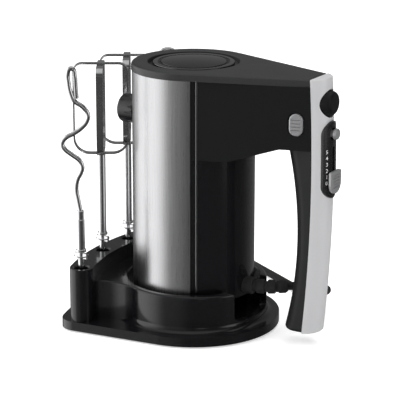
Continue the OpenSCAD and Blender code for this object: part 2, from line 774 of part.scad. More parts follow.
module spindle(side) {
  y = side * spindle_y;
  color([0.75, 0.75, 0.72]) difference() {
    union() {
      rod_x(spindle_r, boss_x + 1.5, frame_x1 + frame_t + 1.5, y, gear_z, 96);
      rod_x(spindle_r + 1.4, -gear_w / 2 - 3, -gear_w / 2, y, gear_z, 96);
    }
    rod_x(spindle_bore, boss_x, frame_x1 + frame_t + 3, y, gear_z, 96);
    block(boss_x, boss_x + 6, y - 1, y + 1, gear_z - spindle_r + 0.8, gear_z + spindle_r - 0.8);
  }
}
module spindle_left() { spindle(-1); }
module spindle_right() { spindle(1); }

// ---- controls ----
module eject_button() {
  front = seam_peak + 10.5;
  color([0.1, 0.1, 0.11]) turned_x([
    [0, seam_x(eject_z) + 2.6], [eject_r, seam_x(eject_z) + 2.6], [eject_r, front - 7],
    [eject_r - 1.4, front - 1.2], [eject_r - 2.4, front], [0, front],
  ], 0, eject_z);
}

module eject_fork() {
  color([0.55, 0.55, 0.57]) {
    rod_x(2.5, fork_x + 3, seam_x(eject_z) + 2.6, 0, eject_z);
    rod_x(5.4, seam_x(eject_z) - 1, seam_x(eject_z) + 2.6, 0, eject_z);
    block(fork_x, fork_x + 3, -spindle_y - 4, spindle_y + 4, gear_z - 4, gear_z + 4);
    block(fork_x, fork_x + 3, -5, 5, gear_z, eject_z + 4);
    for (y = [-spindle_y, spindle_y]) rod_x(spindle_bore - free_gap, fork_x - 10, fork_x, y, gear_z);
  }
}

module eject_spring() {
  turns = 5;
  x0 = seam_x(eject_z) - 19;
  x1 = seam_x(eject_z) - 2;
  coil = [for (k = [0 : turns * 12])
    [x0 + (x1 - x0) * k / (turns * 12), 4 * cos(30 * k), eject_z + 4 * sin(30 * k)]];
  color([0.7, 0.7, 0.72]) swept(coil, 0.5, 6);
}

module turbo_button() {
  front = seam_peak + 13.5;
  color([0.8, 0.8, 0.82]) turned_x([
    [0, seam_peak - 0.8], [2.6, seam_peak - 0.8], [2.6, front - 3.4], [turbo_r, front - 2.4],
    [turbo_r, front - 0.7], [turbo_r - 0.8, front], [0, front],
  ], 0, turbo_z);
}

module speed_slider() {
  front = seam_peak + 13;
  back = seam_peak + crown + panel_proud + 0.3;
  mid = knob_z0 + knob_h / 2;
  color([0.8, 0.8, 0.82]) {
    difference() {
      prism_x(back, front) {
        translate([0, knob_z0 + knob_w / 2]) circle(knob_w / 2, $fn = 64);
        translate([-knob_w / 2, knob_z0 + knob_w / 2]) square([knob_w, knob_h - knob_w / 2]);
      }
      for (k = [-2 : 2]) translate([0, 0, mid + 1 + 2.2 * k])
        block(front - 0.5, front + cut, -4.5, 4.5, -0.5, 0.5);
    }
    block(seam_x(mid) + 1.2, back + 0.8, -0.9, 0.9, mid - 2.6, mid + 2.6);
  }
}

module side_button(side) {
  y_face = handle_w / 2 + (seam_peak - side_x) * tan(17.2);
  color([0.8, 0.8, 0.82]) translate([side_x, side * (y_face - 1.2), side_z]) rotate([0, 0, side * -17.2])
    difference() {
      rotate([90, 0, 0]) linear_extrude(5, center = true) obround(10, -8, 8);
      for (z = [-3.75, -1.25, 1.25, 3.75])
        translate([-3.6, side > 0 ? 1.9 : -3.1, z - 0.35]) cube([7.2, 1.2, 0.7]);
    }
}
module side_button_left() { side_button(-1); }
module side_button_right() { side_button(1); }

// ---- stand ----
// A slab of the accessory block: an arc through the four holes, with round ends
module block_slab(half, z0, z1) {
  translate([0, 0, z0]) {
    linear_extrude(z1 - z0) intersection() {
      translate([block_cx, 0]) difference() {
        circle(block_curve + half, $fn = 720);
        circle(block_curve - half, $fn = 720);
      }
      polygon([[block_cx, 0], [hook_x * 2 - block_cx, -hook_y * 2], [hook_x * 2 - block_cx, hook_y * 2]]);
    }
    for (s = [-1, 1]) translate([hook_x, s * hook_y]) cylinder(r = half - 0.05, h = z1 - z0, $fn = 64);
  }
}

// A slab of the stand's foot: a circle around the mixer that widens to a curved back
module foot_slab(inset, z0, z1) {
  r = foot_r - inset;
  side_y = corner_y + corner_r - inset - 0.1;
  far = 1.2 * (corner_x - block_cx);
  translate([0, 0, z0]) {
    cylinder(r = r, h = z1 - z0, $fn = 180);
    for (s = [-1, 1]) translate([corner_x, s * corner_y])
      cylinder(r = corner_r - inset - 0.06, h = z1 - z0, $fn = 64);
    linear_extrude(z1 - z0) intersection() {
      polygon([
        [20, 0], [-2, 0.2 - r], [corner_x, -side_y], [corner_x, -corner_y],
        [block_cx + far, -1.2 * corner_y], [block_cx + far, 1.2 * corner_y],
        [corner_x, corner_y], [corner_x, side_y], [-2, r - 0.2],
      ]);
      translate([block_cx, 0]) circle(back_r - inset, $fn = 720);
    }
  }
}

module neck_plan(inset) {
  polygon([[-36, -40 + inset], [beater_x + 6, -52 + inset], [beater_x + 6, 52 - inset], [-36, 40 - inset]]);
}

module stand_outer() {
  for (s = [[0, rim_z, 4.4], [0.6, 4.4, 5.8], [1.6, 5.8, 7], [3, 7, foot_h]])
    foot_slab(s[0], s[1], s[2]);
  rotate_extrude($fn = 180) polygon([[0, foot_h - 1], [ring_out + 5, foot_h - 1],
    [ring_out + 4.6, foot_h + 1], [ring_out + 2.6, foot_h + 4], [ring_out + 0.6, ring_h - 5],
    [ring_out - 0.4, ring_h - 1.4], [ring_out - 1.6, ring_h], [0, ring_h]]);
  translate([0, 0, foot_h - 1]) linear_extrude(ring_h - foot_h + 1) neck_plan(0);
  steps = [[0, foot_h - 1, block_h - 1.6], [0.7, block_h - 1.6, block_h - 0.6],
    [1.5, block_h - 0.6, block_h]];
  for (s = steps)
    block_slab(block_half - s[0], s[1], s[2]);
}

module holes_at() {
  for (s = [-1, 1]) {
    translate([beater_x, s * spindle_y, 0]) children();
    translate([hook_x, s * hook_y, 0]) children();
  }
}

module notch(half, z0) {
  rotate([0, 0, -half]) rotate_extrude(angle = 2 * half) translate([ring_in - 10, z0]) square([25, ring_h]);
}

module stand_shell() {
  ledge_z = body_z0 - slip;
  color([0.03, 0.03, 0.035]) {
    difference() {
      stand_outer();
      translate([0, 0, foot_h + 1]) cylinder(r = ring_in, h = ring_h);
      notch(notch_half, 13.6);
      holes_at() translate([0, 0, hole_z]) cylinder(r = hole_r, h = block_h);
      // the moulded shell is hollow from below
      foot_slab(shell_t + 0.5, -cut, foot_h - shell_t);
      difference() {
        block_slab(block_half - shell_t, 4, block_h - shell_t);
        holes_at() translate([0, 0, hole_z - shell_t]) cylinder(r = hole_r + 1.4, h = block_h);
      }
    }
    ring_sector(ring_in - 9, ring_in + 1, foot_h - 1, ledge_z - foot_h + 1, 40, 320);
    for (q = SCREWS)
      translate([q[0], q[1], 3.2]) cylinder(r = 4, h = foot_h - 3.2 - 1.4, $fn = fine);
  }
}

module stand_base() {
  color([0.12, 0.12, 0.13]) difference() {
    foot_slab(shell_t + 0.8, rim_z, rim_z + 2);
    for (q = SCREWS)
      translate([q[0], q[1], 0]) cylinder(r = 1.8, h = 5, $fn = fine);
  }
}

module stand_feet() {
  color([0.2, 0.2, 0.2]) for (q = FEET) translate([q[0], q[1], 0]) cylinder(r = foot_pad_r, h = rim_z);
}

module stand_screws() {
  color([0.6, 0.6, 0.6]) for (q = SCREWS)
    translate([q[0], q[1], 0.6]) {
      cylinder(r = 3.2, h = 0.6, $fn = fine);
      cylinder(r = 1.7, h = 2.6, $fn = fine);
    }
}

// ---- beaters ----
module shank(x, y, tube_top) {
  translate([x, y, 0]) {
    translate([0, 0, hole_z]) cylinder(d1 = shank_d - 1.4, d2 = shank_d, h = 1.2, $fn = fine);
    translate([0, 0, hole_z + 1.2]) cylinder(d = shank_d, h = ear_z + 2 - hole_z, $fn = fine);
    translate([0, 0, ear_z + 3]) cylinder(d = tube_d, h = tube_top - ear_z - 3, $fn = fine);
    translate([0, 0, ear_z + 3]) cylinder(d = tube_d + 1.6, h = 2, $fn = fine);
    translate([-5.5, -0.9, ear_z - 2]) cube([11, 1.8, 4]);
  }
}

module beater_shaft_left() { color([0.75, 0.75, 0.76]) shank(beater_x, -spindle_y, loop_z0); }
module beater_shaft_right() { color([0.75, 0.75, 0.76]) shank(beater_x, spindle_y, loop_z0); }

module loop_outline(grow) {
  w = loop_w / 2 + grow;
  top_r = 7 + grow;
  low_r = 12 + grow;
  z0 = loop_z0 - grow;
  z1 = loop_z0 + loop_h + grow;
  for (s = [-1, 1]) {
    translate([s * (w - low_r), z0 + low_r]) circle(low_r, $fn = 64);
    translate([s * (w - top_r), z1 - top_r]) circle(top_r, $fn = 64);
  }
  translate([-w, z0 + low_r]) square([2 * w, z1 - z0 - low_r - top_r]);
  translate([-w + low_r, z0]) square([2 * (w - low_r), low_r + 1]);
  translate([-w + top_r, z1 - top_r - 1]) square([2 * (w - top_r), top_r + 1]);
}

module loops(y) {
  color([0.75, 0.75, 0.76]) translate([beater_x, y, 0])
    for (a = [hook_turn, hook_turn + 90]) rotate([0, 0, a]) difference() {
      side_slab(strip_w) loop_outline(0);
      side_slab(strip_w + 2) loop_outline(-strip_t);
    }
}
module beater_loops_left() { loops(-spindle_y); }
module beater_loops_right() { loops(spindle_y); }

// ---- dough hooks: a wire bent in one plane, from the sleeve up and round ----
HOOK = [
  [0, 91.5], [-1.5, 100], [-2.7, 108], [-1.6, 115], [0.9, 120], [1.9, 124.5], [0, 129], [-5, 133],
  [-10.4, 137.5], [-12.3, 141.5], [-10, 145.5], [-4, 149], [1.5, 153], [5.6, 158], [6.6, 163],
  [3.2, 168.5], [-2.8, 173],
];
// the narrow bend back at the left hook's end, and the wider and lower one of the right hook
LEFT_END = [
  [-5.6, 179], [-7.2, 188], [-7.4, 193], [-6, 196.4], [-3.8, 196.4], [-2.5, 192], [-2, 184],
  [-1.5, 175],
];
RIGHT_END = [
  [-6.6, 177.5], [-8.4, 182.5], [-6.8, 187], [-2, 189.4], [2.8, 187.8], [4.3, 183.5], [3.6, 179],
  [2.9, 175.5],
];
function hook_path(side) = [for (q = concat(HOOK, side < 0 ? LEFT_END : RIGHT_END))
  [hook_x + q[0] * cos(hook_turn), side * hook_y + q[0] * sin(hook_turn), q[1] + ear_z - 57]];

module hook_shaft(side) {
  color([0.75, 0.75, 0.76]) {
    shank(hook_x, side * hook_y, hole_z + 63);
    translate([hook_x, side * hook_y, hole_z + 62.5]) cylinder(d = tube_d - 0.8, h = 7, $fn = fine);
  }
}
module hook_shaft_left() { hook_shaft(-1); }
module hook_shaft_right() { hook_shaft(1); }

module hook_wire(side) {
  color([0.75, 0.75, 0.76]) swept(smoothed(hook_path(side), 66), hook_wire_d / 2, 8);
}
module hook_wire_left() { hook_wire(-1); }
module hook_wire_right() { hook_wire(1); }

arm_left();
arm_right();
motor_tube();
steel_jacket();
trim_strips();
nose_cover();
vent_disc();
vent_dome();
end_cap();
handle_cover();
grip_sleeve();
control_panel();
socket_collar_left();
socket_collar_right();
stator_core();
field_coils();
brush_bracket();
brush_holders();
carbon_brushes();
motor_bracket();
shaft_bearings();
gear_frame();
spindle_bushes();
speed_board();
turbo_switch();
housing_screws();
cord_clamp();
cord_guard();
power_cord();
cord_coil();
plug_body();
plug_pins();
worm_shaft();
rotor_core();
rotor_windings();
commutator();
cooling_fan();
drive_gear_left();
drive_gear_right();
spindle_left();
spindle_right();
eject_button();
eject_fork();
eject_spring();
turbo_button();
speed_slider();
side_button_left();
side_button_right();
stand_shell();
stand_base();
stand_feet();
stand_screws();
beater_shaft_left();
beater_loops_left();
beater_shaft_right();
beater_loops_right();
hook_shaft_left();
hook_wire_left();
hook_shaft_right();
hook_wire_right();
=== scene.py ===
"""Hand mixer on its storage stand, with two beaters, two dough hooks and its mains lead.

Sizes inside the classes are in millimetres and every finished mesh is scaled to metres, in the frame of
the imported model: the origin is on the floor under the motor body, +X points to the handle and +Z up.
"""

import logging
import math
from collections.abc import Callable, Sequence
from dataclasses import dataclass
from enum import Enum

import bmesh
import bpy
from bmesh.types import BMEdge, BMesh
from mathutils import Matrix, Vector


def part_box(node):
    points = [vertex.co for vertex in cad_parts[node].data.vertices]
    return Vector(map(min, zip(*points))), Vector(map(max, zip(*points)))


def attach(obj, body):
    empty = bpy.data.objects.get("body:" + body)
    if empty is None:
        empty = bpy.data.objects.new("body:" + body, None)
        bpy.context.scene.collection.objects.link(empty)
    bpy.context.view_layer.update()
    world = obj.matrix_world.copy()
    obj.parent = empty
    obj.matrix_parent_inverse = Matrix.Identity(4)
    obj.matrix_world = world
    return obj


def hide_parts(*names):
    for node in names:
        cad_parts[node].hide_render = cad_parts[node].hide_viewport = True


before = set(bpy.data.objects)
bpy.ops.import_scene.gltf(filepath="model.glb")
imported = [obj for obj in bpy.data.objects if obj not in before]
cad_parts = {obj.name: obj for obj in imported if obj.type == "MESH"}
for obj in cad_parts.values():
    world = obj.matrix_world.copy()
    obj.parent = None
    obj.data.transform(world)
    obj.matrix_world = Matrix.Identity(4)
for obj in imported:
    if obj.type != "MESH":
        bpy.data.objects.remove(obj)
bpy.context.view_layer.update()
LOG = logging.getLogger("mixer")
MM = 0.001
SIDES = (-1, 1)
Point = tuple[float, float]


# ---------------------------------------------------------------- shapes

class Along(Enum):
    """The axis that an outline is pushed along, and which two axes the outline is drawn in."""

    X = "yz"
    Y = "xz"
    Z = "xy"


class Join(Enum):
    """How one solid is combined with another."""

    ADD = "UNION"
    CUT = "DIFFERENCE"
    COMMON = "INTERSECT"


def side_name(side: int) -> str:
    """Gives left for -1, the -Y side, and right for 1."""
    return "left" if side < 0 else "right"


def node_box(node: str) -> tuple[Vector, Vector]:
    """Gives the lowest and highest corner of a CAD node in millimetres."""
    low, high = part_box(node)
    return low / MM, high / MM


def arc(cu: float, cv: float, r: float, start: float, end: float, steps: int = 12) -> list[Point]:
    """Gives points along a circle.

    Args:
        cu: First coordinate of the centre.
        cv: Second coordinate of the centre.
        r: Radius.
        start: First angle in degrees.
        end: Last angle in degrees.
        steps: Number of steps between them.

    Returns:
        The points, both ends included.
    """
    turns = [math.radians(start + (end - start) * k / steps) for k in range(steps + 1)]
    return [(cu + r * math.cos(t), cv + r * math.sin(t)) for t in turns]


def rounded_box(w: float, h: float, r: float, steps: int = 6) -> list[Point]:
    """Gives the outline of a rectangle with round corners, its centre at the origin."""
    u, v = w / 2 - r, h / 2 - r
    return (arc(u, v, r, 0, 90, steps) + arc(-u, v, r, 90, 180, steps)
            + arc(-u, -v, r, 180, 270, steps) + arc(u, -v, r, 270, 360, steps))


def obround(w: float, low: float, high: float, steps: int = 20) -> list[Point]:
    """Gives an upright slot outline with round ends, from low to high."""
    r = w / 2
    return arc(0, high - r, r, 0, 180, steps) + arc(0, low + r, r, 180, 360, steps)


def wall(inner: float, outer: float, low: float, high: float) -> list[Point]:
    """Gives the profile of a plain ring, or of a disc where inner is 0."""
    return [(inner, low), (outer, low), (outer, high), (inner, high)]


def linked(name: str, data: bpy.types.ID) -> bpy.types.Object:
    """Makes an object of some data and puts it in the scene."""
    obj = bpy.data.objects.new(name, data)
    bpy.context.scene.collection.objects.link(obj)
    return obj


def tidy(bm: BMesh) -> BMesh:
    """Merges doubled corners and turns every face outwards."""
    bmesh.ops.remove_doubles(bm, verts=bm.verts, dist=1e-4)
    bmesh.ops.recalc_face_normals(bm, faces=bm.faces)
    return bm


def cap(bm: BMesh) -> BMesh:
    """Closes every open loop with a face."""
    bmesh.ops.holes_fill(bm, edges=[e for e in bm.edges if e.is_boundary], sides=0)
    return tidy(bm)


def prism(outline: Sequence[Point], low: float, high: float, along: Along = Along.Z) -> BMesh:
    """Pushes an outline along an axis into a solid.

    Args:
        outline: Corners of the outline, in the two axes that along names.
        low: Where the solid starts on the axis.
        high: Where it ends.
        along: The axis.

    Returns:
        The solid.
    """
    bm = bmesh.new()
    spots = {Along.X: lambda u, v: (low, u, v), Along.Y: lambda u, v: (u, low, v),
             Along.Z: lambda u, v: (u, v, low)}[along]
    steps = {Along.X: (1, 0, 0), Along.Y: (0, 1, 0), Along.Z: (0, 0, 1)}[along]
    face = bm.faces.new([bm.verts.new(spots(u, v)) for u, v in outline])
    pushed = bmesh.ops.extrude_face_region(bm, geom=[face])["geom"]
    moved = [v for v in pushed if isinstance(v, bmesh.types.BMVert)]
    bmesh.ops.translate(bm, verts=moved, vec=Vector(steps) * (high - low))
    return cap(bm)


def turned(profile: Sequence[Point], steps: int = 128, start: float = 0, sweep: float = 360) -> BMesh:
    """Turns a profile of (radius, height) about the Z axis.

    Args:
        profile: The profile; it is closed unless its two ends lie on the axis.
        steps: Number of steps round the sweep.
        start: Angle where the sweep starts, in degrees.
        sweep: Angle that it covers.

    Returns:
        The closed solid.
    """
    bm = bmesh.new()
    t = math.radians(start)
    verts = [bm.verts.new((r * math.cos(t), r * math.sin(t), z)) for r, z in profile]
    edges = [bm.edges.new(pair) for pair in zip(verts, verts[1:])]
    if profile[0][0] > 0:
        edges.append(bm.edges.new((verts[-1], verts[0])))
    bmesh.ops.spin(bm, geom=verts + edges, cent=(0, 0, 0), axis=(0, 0, 1), dvec=(0, 0, 0),
                   angle=math.radians(sweep), steps=steps, use_merge=sweep >= 360, use_duplicate=False)
    bmesh.ops.remove_doubles(bm, verts=bm.verts, dist=1e-4)
    return cap(bm) if sweep < 360 else tidy(bm)


def turned_x(profile: Sequence[Point], y: float, z: float, facing: int = 1, steps: int = 64) -> BMesh:
    """Turns a profile of (radius, distance) about an axis along X through (y, z).

    Args:
        profile: The profile.
        y: Y of the axis.
        z: Z of the axis.
        facing: 1 where distances count towards +X, -1 towards -X.
        steps: Number of steps round the axis.

    Returns:
        The closed solid.
    """
    turn = Matrix.Rotation(facing * math.pi / 2, 4, "Y")
    return moved(turned(profile, steps), Matrix.Translation((0, y, z)) @ turn)


def swung(section: Sequence[Point], far_x: float, far_z: float, low: float, high: float, steps: int) -> BMesh:
    """Swings a closed section about a far axis along Y.

    Args:
        section: Corners as (distance from the axis, y).
        far_x: X of the axis.
        far_z: Z of the axis.
        low: First angle in degrees, measured from +X to +Z.
        high: Last angle.
        steps: Number of steps.

    Returns:
        The closed bar.
    """
    bm = bmesh.new()
    t = math.radians(low)
    verts = [bm.verts.new((far_x + r * math.cos(t), y, far_z + r * math.sin(t))) for r, y in section]
    edges = [bm.edges.new((a, b)) for a, b in zip(verts, verts[1:] + verts[:1])]
    bmesh.ops.spin(bm, geom=verts + edges, cent=(far_x, 0, far_z), axis=(0, -1, 0), dvec=(0, 0, 0),
                   angle=math.radians(high - low), steps=steps, use_merge=False, use_duplicate=False)
    return cap(bm)


def trim(bm: BMesh, point: Sequence[float], normal: Sequence[float]) -> BMesh:
    """Cuts off what lies past a plane, on the side that its normal points to, and closes the cut."""
    bmesh.ops.bisect_plane(bm, geom=bm.verts[:] + bm.edges[:] + bm.faces[:], dist=1e-5,
                           plane_co=point, plane_no=normal, clear_outer=True)
    return cap(bm)


def moved(bm: BMesh, matrix: Matrix) -> BMesh:
    """Moves a solid by a matrix."""
    bmesh.ops.transform(bm, matrix=matrix, verts=bm.verts)
    return bm


def together(*parts: BMesh) -> BMesh:
    """Puts several solids that don't touch into one mesh."""
    whole = bmesh.new()
    for part in parts:
        held = bpy.data.meshes.new("held")
        part.to_mesh(held)
        part.free()
        whole.from_mesh(held)
        bpy.data.meshes.remove(held)
    return whole


def combine(base: BMesh, join: Join, *tools: BMesh) -> BMesh:
    """Adds, cuts or intersects a solid with others, one after another.

    Args:
        base: The solid that is worked on.
        join: What is done.
        tools: The other solids, which are used up.

    Returns:
        The new solid.
    """
    for tool in tools:
        shapes = []
        for name, bm in (("base", base), ("tool", tool)):
            mesh = bpy.data.meshes.new(name)
            bm.to_mesh(mesh)
            bm.free()
            shapes.append(linked(name, mesh))
        step = shapes[0].modifiers.new("join", "BOOLEAN")
        step.operation = join.value
        step.object = shapes[1]
        step.solver = "EXACT"
        graph = bpy.context.evaluated_depsgraph_get()
        result = bpy.data.meshes.new_from_object(shapes[0].evaluated_get(graph))
        base = bmesh.new()
        base.from_mesh(result)
        bpy.data.meshes.remove(result)
        for shape in shapes:
            mesh = shape.data
            bpy.data.objects.remove(shape)
            bpy.data.meshes.remove(mesh)
        bmesh.ops.remove_doubles(base, verts=base.verts, dist=2e-3)
        bmesh.ops.dissolve_degenerate(base, edges=base.edges, dist=1e-3)
    return base


def is_corner(edge: BMEdge, angle: float = 35) -> bool:
    """Tells whether the faces beside an edge meet at more than an angle in degrees."""
    return edge.is_manifold and edge.calc_face_angle(0) > math.radians(angle)


def soften(bm: BMesh, width: float, pick: Callable[[BMEdge], bool], segments: int = 4) -> BMesh:
    """Rounds the picked edges.

    Args:
        bm: The solid.
        width: Distance from the old edge to the rounding's border.
        pick: Tells which edges.
        segments: Number of strips across the rounding.

    Returns:
        The same solid.
    """
    edges = [e for e in bm.edges if pick(e)]
    bmesh.ops.bevel(bm, geom=edges, offset=width, offset_type="OFFSET", segments=segments, profile=0.5,
                    affect="EDGES", clamp_overlap=True, material=-1)
    return bm


def at_height(z: float, slack: float = 0.02) -> Callable[[BMEdge], bool]:
    """Gives a test for corner edges that lie level at one height."""
    return lambda e: is_corner(e) and all(abs(v.co.z - z) < slack for v in e.verts)


def bar_curve(name: str, points: Sequence[Sequence[float]], r: float, round_steps: int,
              steps: int) -> bpy.types.Curve:
    """Makes a round bar along a smooth line.

    Args:
        name: The curve's name.
        points: Points that the bar's middle passes through.
        r: Radius of the bar.
        round_steps: How finely its section is drawn.
        steps: Number of stretches between two points.

    Returns:
        The curve.
    """
    curve = bpy.data.curves.new(name, "CURVE")
    curve.dimensions = "3D"
    curve.bevel_depth = r
    curve.bevel_resolution = round_steps
    curve.resolution_u = steps
    curve.use_fill_caps = True
    line = curve.splines.new("BEZIER")
    line.bezier_points.add(len(points) - 1)
    for spot, point in zip(line.bezier_points, points):
        spot.co = point
        spot.handle_left_type = spot.handle_right_type = "AUTO"
    return curve


def solid_of(curve: bpy.types.Curve) -> BMesh:
    """Turns a curve into a solid and removes the curve."""
    holder = linked(curve.name, curve)
    graph = bpy.context.evaluated_depsgraph_get()
    graph.update()
    mesh = bpy.data.meshes.new_from_object(holder.evaluated_get(graph))
    bm = bmesh.new()
    bm.from_mesh(mesh)
    bpy.data.objects.remove(holder)
    bpy.data.meshes.remove(mesh)
    bpy.data.curves.remove(curve)
    return tidy(bm)


# ---------------------------------------------------------------- finishes

class Grain(Enum):
    """The fine pattern of a finish, as how far it is squeezed along X, Y and Z."""

    SPECKLE = (1.0, 1.0, 1.0)
    BRUSHED_UP = (1.0, 1.0, 0.012)
    BRUSHED_ROUND = (0.05, 0.05, 1.0)
    SHEETS = (0.02, 0.02, 1.0)
    WOUND_UP = (1.0, 1.0, 0.03)


@dataclass(frozen=True)
class Finish:
    """A surface finish: its colour, its gloss and a fine pattern that gives both some life.

    Lengths are in metres, because materials work on finished pieces.
    """

    name: str
    colour: tuple[float, float, float]
    roughness: float
    metallic: float = 0.0
    coat: float = 0.0
    coat_roughness: float = 0.06
    specular: float = 0.5
    sheen: float = 0.0
    grain: Grain = Grain.SPECKLE
    grain_size: float = 0.0006
    depth: float = 0.00001
    tone_spread: float = 0.08
    rough_spread: float = 0.06
    cloud_size: float = 0.03
    cloud_spread: float = 0.05
    glow: float = 0.0

    def material(self) -> bpy.types.Material:
        """Gives the finish's material, which is made once.

        Returns:
            The node material.
        """
        known = bpy.data.materials.get(self.name)
        if known is not None:
            return known
        made = bpy.data.materials.new(self.name)
        made.use_nodes = True
        made.diffuse_color = (*self.colour, 1)
        tree = made.node_tree
        shader = tree.nodes["Principled BSDF"]
        for socket, value in (
                ("Metallic", self.metallic), ("Coat Weight", self.coat),
                ("Coat Roughness", self.coat_roughness), ("Specular IOR Level", self.specular),
                ("Sheen Weight", self.sheen),
                ("Emission Color", (*self.colour, 1)), ("Emission Strength", self.glow)):
            shader.inputs[socket].default_value = value
        where = tree.nodes.new("ShaderNodeTexCoord")
        squeeze = tree.nodes.new("ShaderNodeMapping")
        squeeze.inputs["Scale"].default_value = self.grain.value
        tree.links.new(where.outputs["Object"], squeeze.inputs["Vector"])
        fine = self.noise(tree, squeeze.outputs["Vector"], self.grain_size, 3)
        cloud = self.noise(tree, where.outputs["Object"], self.cloud_size, 2)
        self.colour_nodes(tree, fine, shader.inputs["Base Color"])
        self.roughness_nodes(tree, fine, cloud, shader.inputs["Roughness"])
        bump = tree.nodes.new("ShaderNodeBump")
        bump.inputs["Strength"].default_value = 1.0
        bump.inputs["Distance"].default_value = self.depth
        tree.links.new(fine, bump.inputs["Height"])
        tree.links.new(bump.outputs["Normal"], shader.inputs["Normal"])
        return made

    @staticmethod
    def noise(tree: bpy.types.NodeTree, vector: bpy.types.NodeSocket, size: float,
              detail: float) -> bpy.types.NodeSocket:
        """Adds a noise of a given size of blot and gives its output."""
        node = tree.nodes.new("ShaderNodeTexNoise")
        node.inputs["Scale"].default_value = 1 / size
        node.inputs["Detail"].default_value = detail
        tree.links.new(vector, node.inputs["Vector"])
        return node.outputs["Fac"]

    def colour_nodes(self, tree: bpy.types.NodeTree, fine: bpy.types.NodeSocket,
                     target: bpy.types.NodeSocket) -> None:
        """Lets the colour run a little darker and lighter with the fine pattern."""
        ramp = tree.nodes.new("ShaderNodeValToRGB")
        for stop, spot, gain in zip(ramp.color_ramp.elements, (0.3, 0.7), (-1, 1)):
            stop.position = spot
            stop.color = (*[min(1.0, c * (1 + gain * self.tone_spread)) for c in self.colour], 1)
        tree.links.new(fine, ramp.inputs["Fac"])
        tree.links.new(ramp.outputs["Color"], target)

    def roughness_nodes(self, tree: bpy.types.NodeTree, fine: bpy.types.NodeSocket,
                        cloud: bpy.types.NodeSocket, target: bpy.types.NodeSocket) -> None:
        """Lets the gloss change with the fine pattern and with slow clouds."""
        total = None
        for source, spread in ((fine, self.rough_spread), (cloud, self.cloud_spread)):
            node = tree.nodes.new("ShaderNodeMapRange")
            node.inputs["From Min"].default_value = 0.3
            node.inputs["From Max"].default_value = 0.7
            middle = self.roughness if total is None else 0.0
            node.inputs["To Min"].default_value = middle - spread
            node.inputs["To Max"].default_value = middle + spread
            tree.links.new(source, node.inputs["Value"])
            if total is None:
                total = node.outputs["Result"]
            else:
                add = tree.nodes.new("ShaderNodeMath")
                add.use_clamp = True
                tree.links.new(total, add.inputs[0])
                tree.links.new(node.outputs["Result"], add.inputs[1])
                total = add.outputs["Value"]
        tree.links.new(total, target)


BRUSHED_STEEL = Finish("brushed_steel", (0.62, 0.62, 0.63), 0.30, metallic=1.0, grain=Grain.BRUSHED_UP,
                       grain_size=0.0005, depth=0.000012, tone_spread=0.1, rough_spread=0.05,
                       cloud_spread=0.02)
BRIGHT_TRIM = Finish("bright_trim", (0.92, 0.92, 0.93), 0.34, metallic=0.7, grain_size=0.002, depth=0.000002,
                     tone_spread=0.03, rough_spread=0.02, cloud_spread=0.02)
SATIN_BLACK = Finish("satin_black", (0.007, 0.007, 0.0075), 0.42, specular=0.3, grain_size=0.0005,
                     depth=0.000012, tone_spread=0.12, rough_spread=0.04, cloud_spread=0.03)
GLOSS_BLACK = Finish("gloss_black", (0.006, 0.006, 0.007), 0.16, coat=0.5, coat_roughness=0.04,
                     grain_size=0.004, depth=0.000004, tone_spread=0.1, rough_spread=0.03, cloud_spread=0.03)
STAND_BLACK = Finish("stand_black", (0.006, 0.006, 0.007), 0.2, coat=0.35, coat_roughness=0.08,
                     grain_size=0.003, depth=0.000006, tone_spread=0.1, rough_spread=0.04, cloud_spread=0.04)
LID_GREY = Finish("lid_grey", (0.026, 0.026, 0.027), 0.34, grain_size=0.0004, depth=0.00001,
                  tone_spread=0.1, rough_spread=0.04, cloud_spread=0.03)
VENT_BLACK = Finish("vent_black", (0.008, 0.008, 0.009), 0.16, coat=0.8, specular=0.8, grain_size=0.002,
                    depth=0.000003, tone_spread=0.08, rough_spread=0.03, cloud_spread=0.03)
SOFT_GRIP = Finish("soft_grip", (0.009, 0.009, 0.0095), 0.48, specular=0.35, sheen=0.02,
                   grain_size=0.0003, depth=0.00002, tone_spread=0.15, rough_spread=0.05, cloud_spread=0.04)
SILVER_PAINT = Finish("silver_paint", (0.72, 0.72, 0.73), 0.32, metallic=0.75, grain_size=0.00025,
                      depth=0.000006, tone_spread=0.1, rough_spread=0.05, cloud_spread=0.02)
SILVER_KEY = Finish("silver_key", (0.5, 0.5, 0.51), 0.36, metallic=0.7, grain_size=0.0003, depth=0.000008,
                    tone_spread=0.1, rough_spread=0.05, cloud_spread=0.03)
CHROME_WIRE = Finish("chrome_wire", (0.9, 0.9, 0.91), 0.14, metallic=1.0, grain_size=0.0015, depth=0.000003,
                     tone_spread=0.06, rough_spread=0.03, cloud_spread=0.02)
PANEL_BLACK = Finish("panel_black", (0.01, 0.01, 0.011), 0.28, coat=0.3, grain_size=0.0005, depth=0.000006,
                     tone_spread=0.1, rough_spread=0.04, cloud_spread=0.03)
PRINT_WHITE = Finish("print_white", (0.8, 0.8, 0.8), 0.5, grain_size=0.0004, depth=0.000002, tone_spread=0.04)
CORD_RUBBER = Finish("cord_rubber", (0.008, 0.008, 0.0085), 0.46, specular=0.35, grain_size=0.0006,
                     depth=0.00002, tone_spread=0.12, rough_spread=0.05, cloud_spread=0.04)
GREY_PLASTIC = Finish("grey_plastic", (0.05, 0.05, 0.055), 0.5, grain_size=0.0006, depth=0.00002)
SHEET_STEEL = Finish("sheet_steel", (0.42, 0.42, 0.44), 0.38, metallic=1.0, grain=Grain.SHEETS,
                     grain_size=0.0008, depth=0.00005, tone_spread=0.2)
COPPER = Finish("copper_wire", (0.72, 0.3, 0.12), 0.3, metallic=1.0, grain=Grain.WOUND_UP, grain_size=0.0007,
                depth=0.00008, tone_spread=0.2)
BRASS = Finish("brass", (0.72, 0.52, 0.22), 0.3, metallic=1.0)
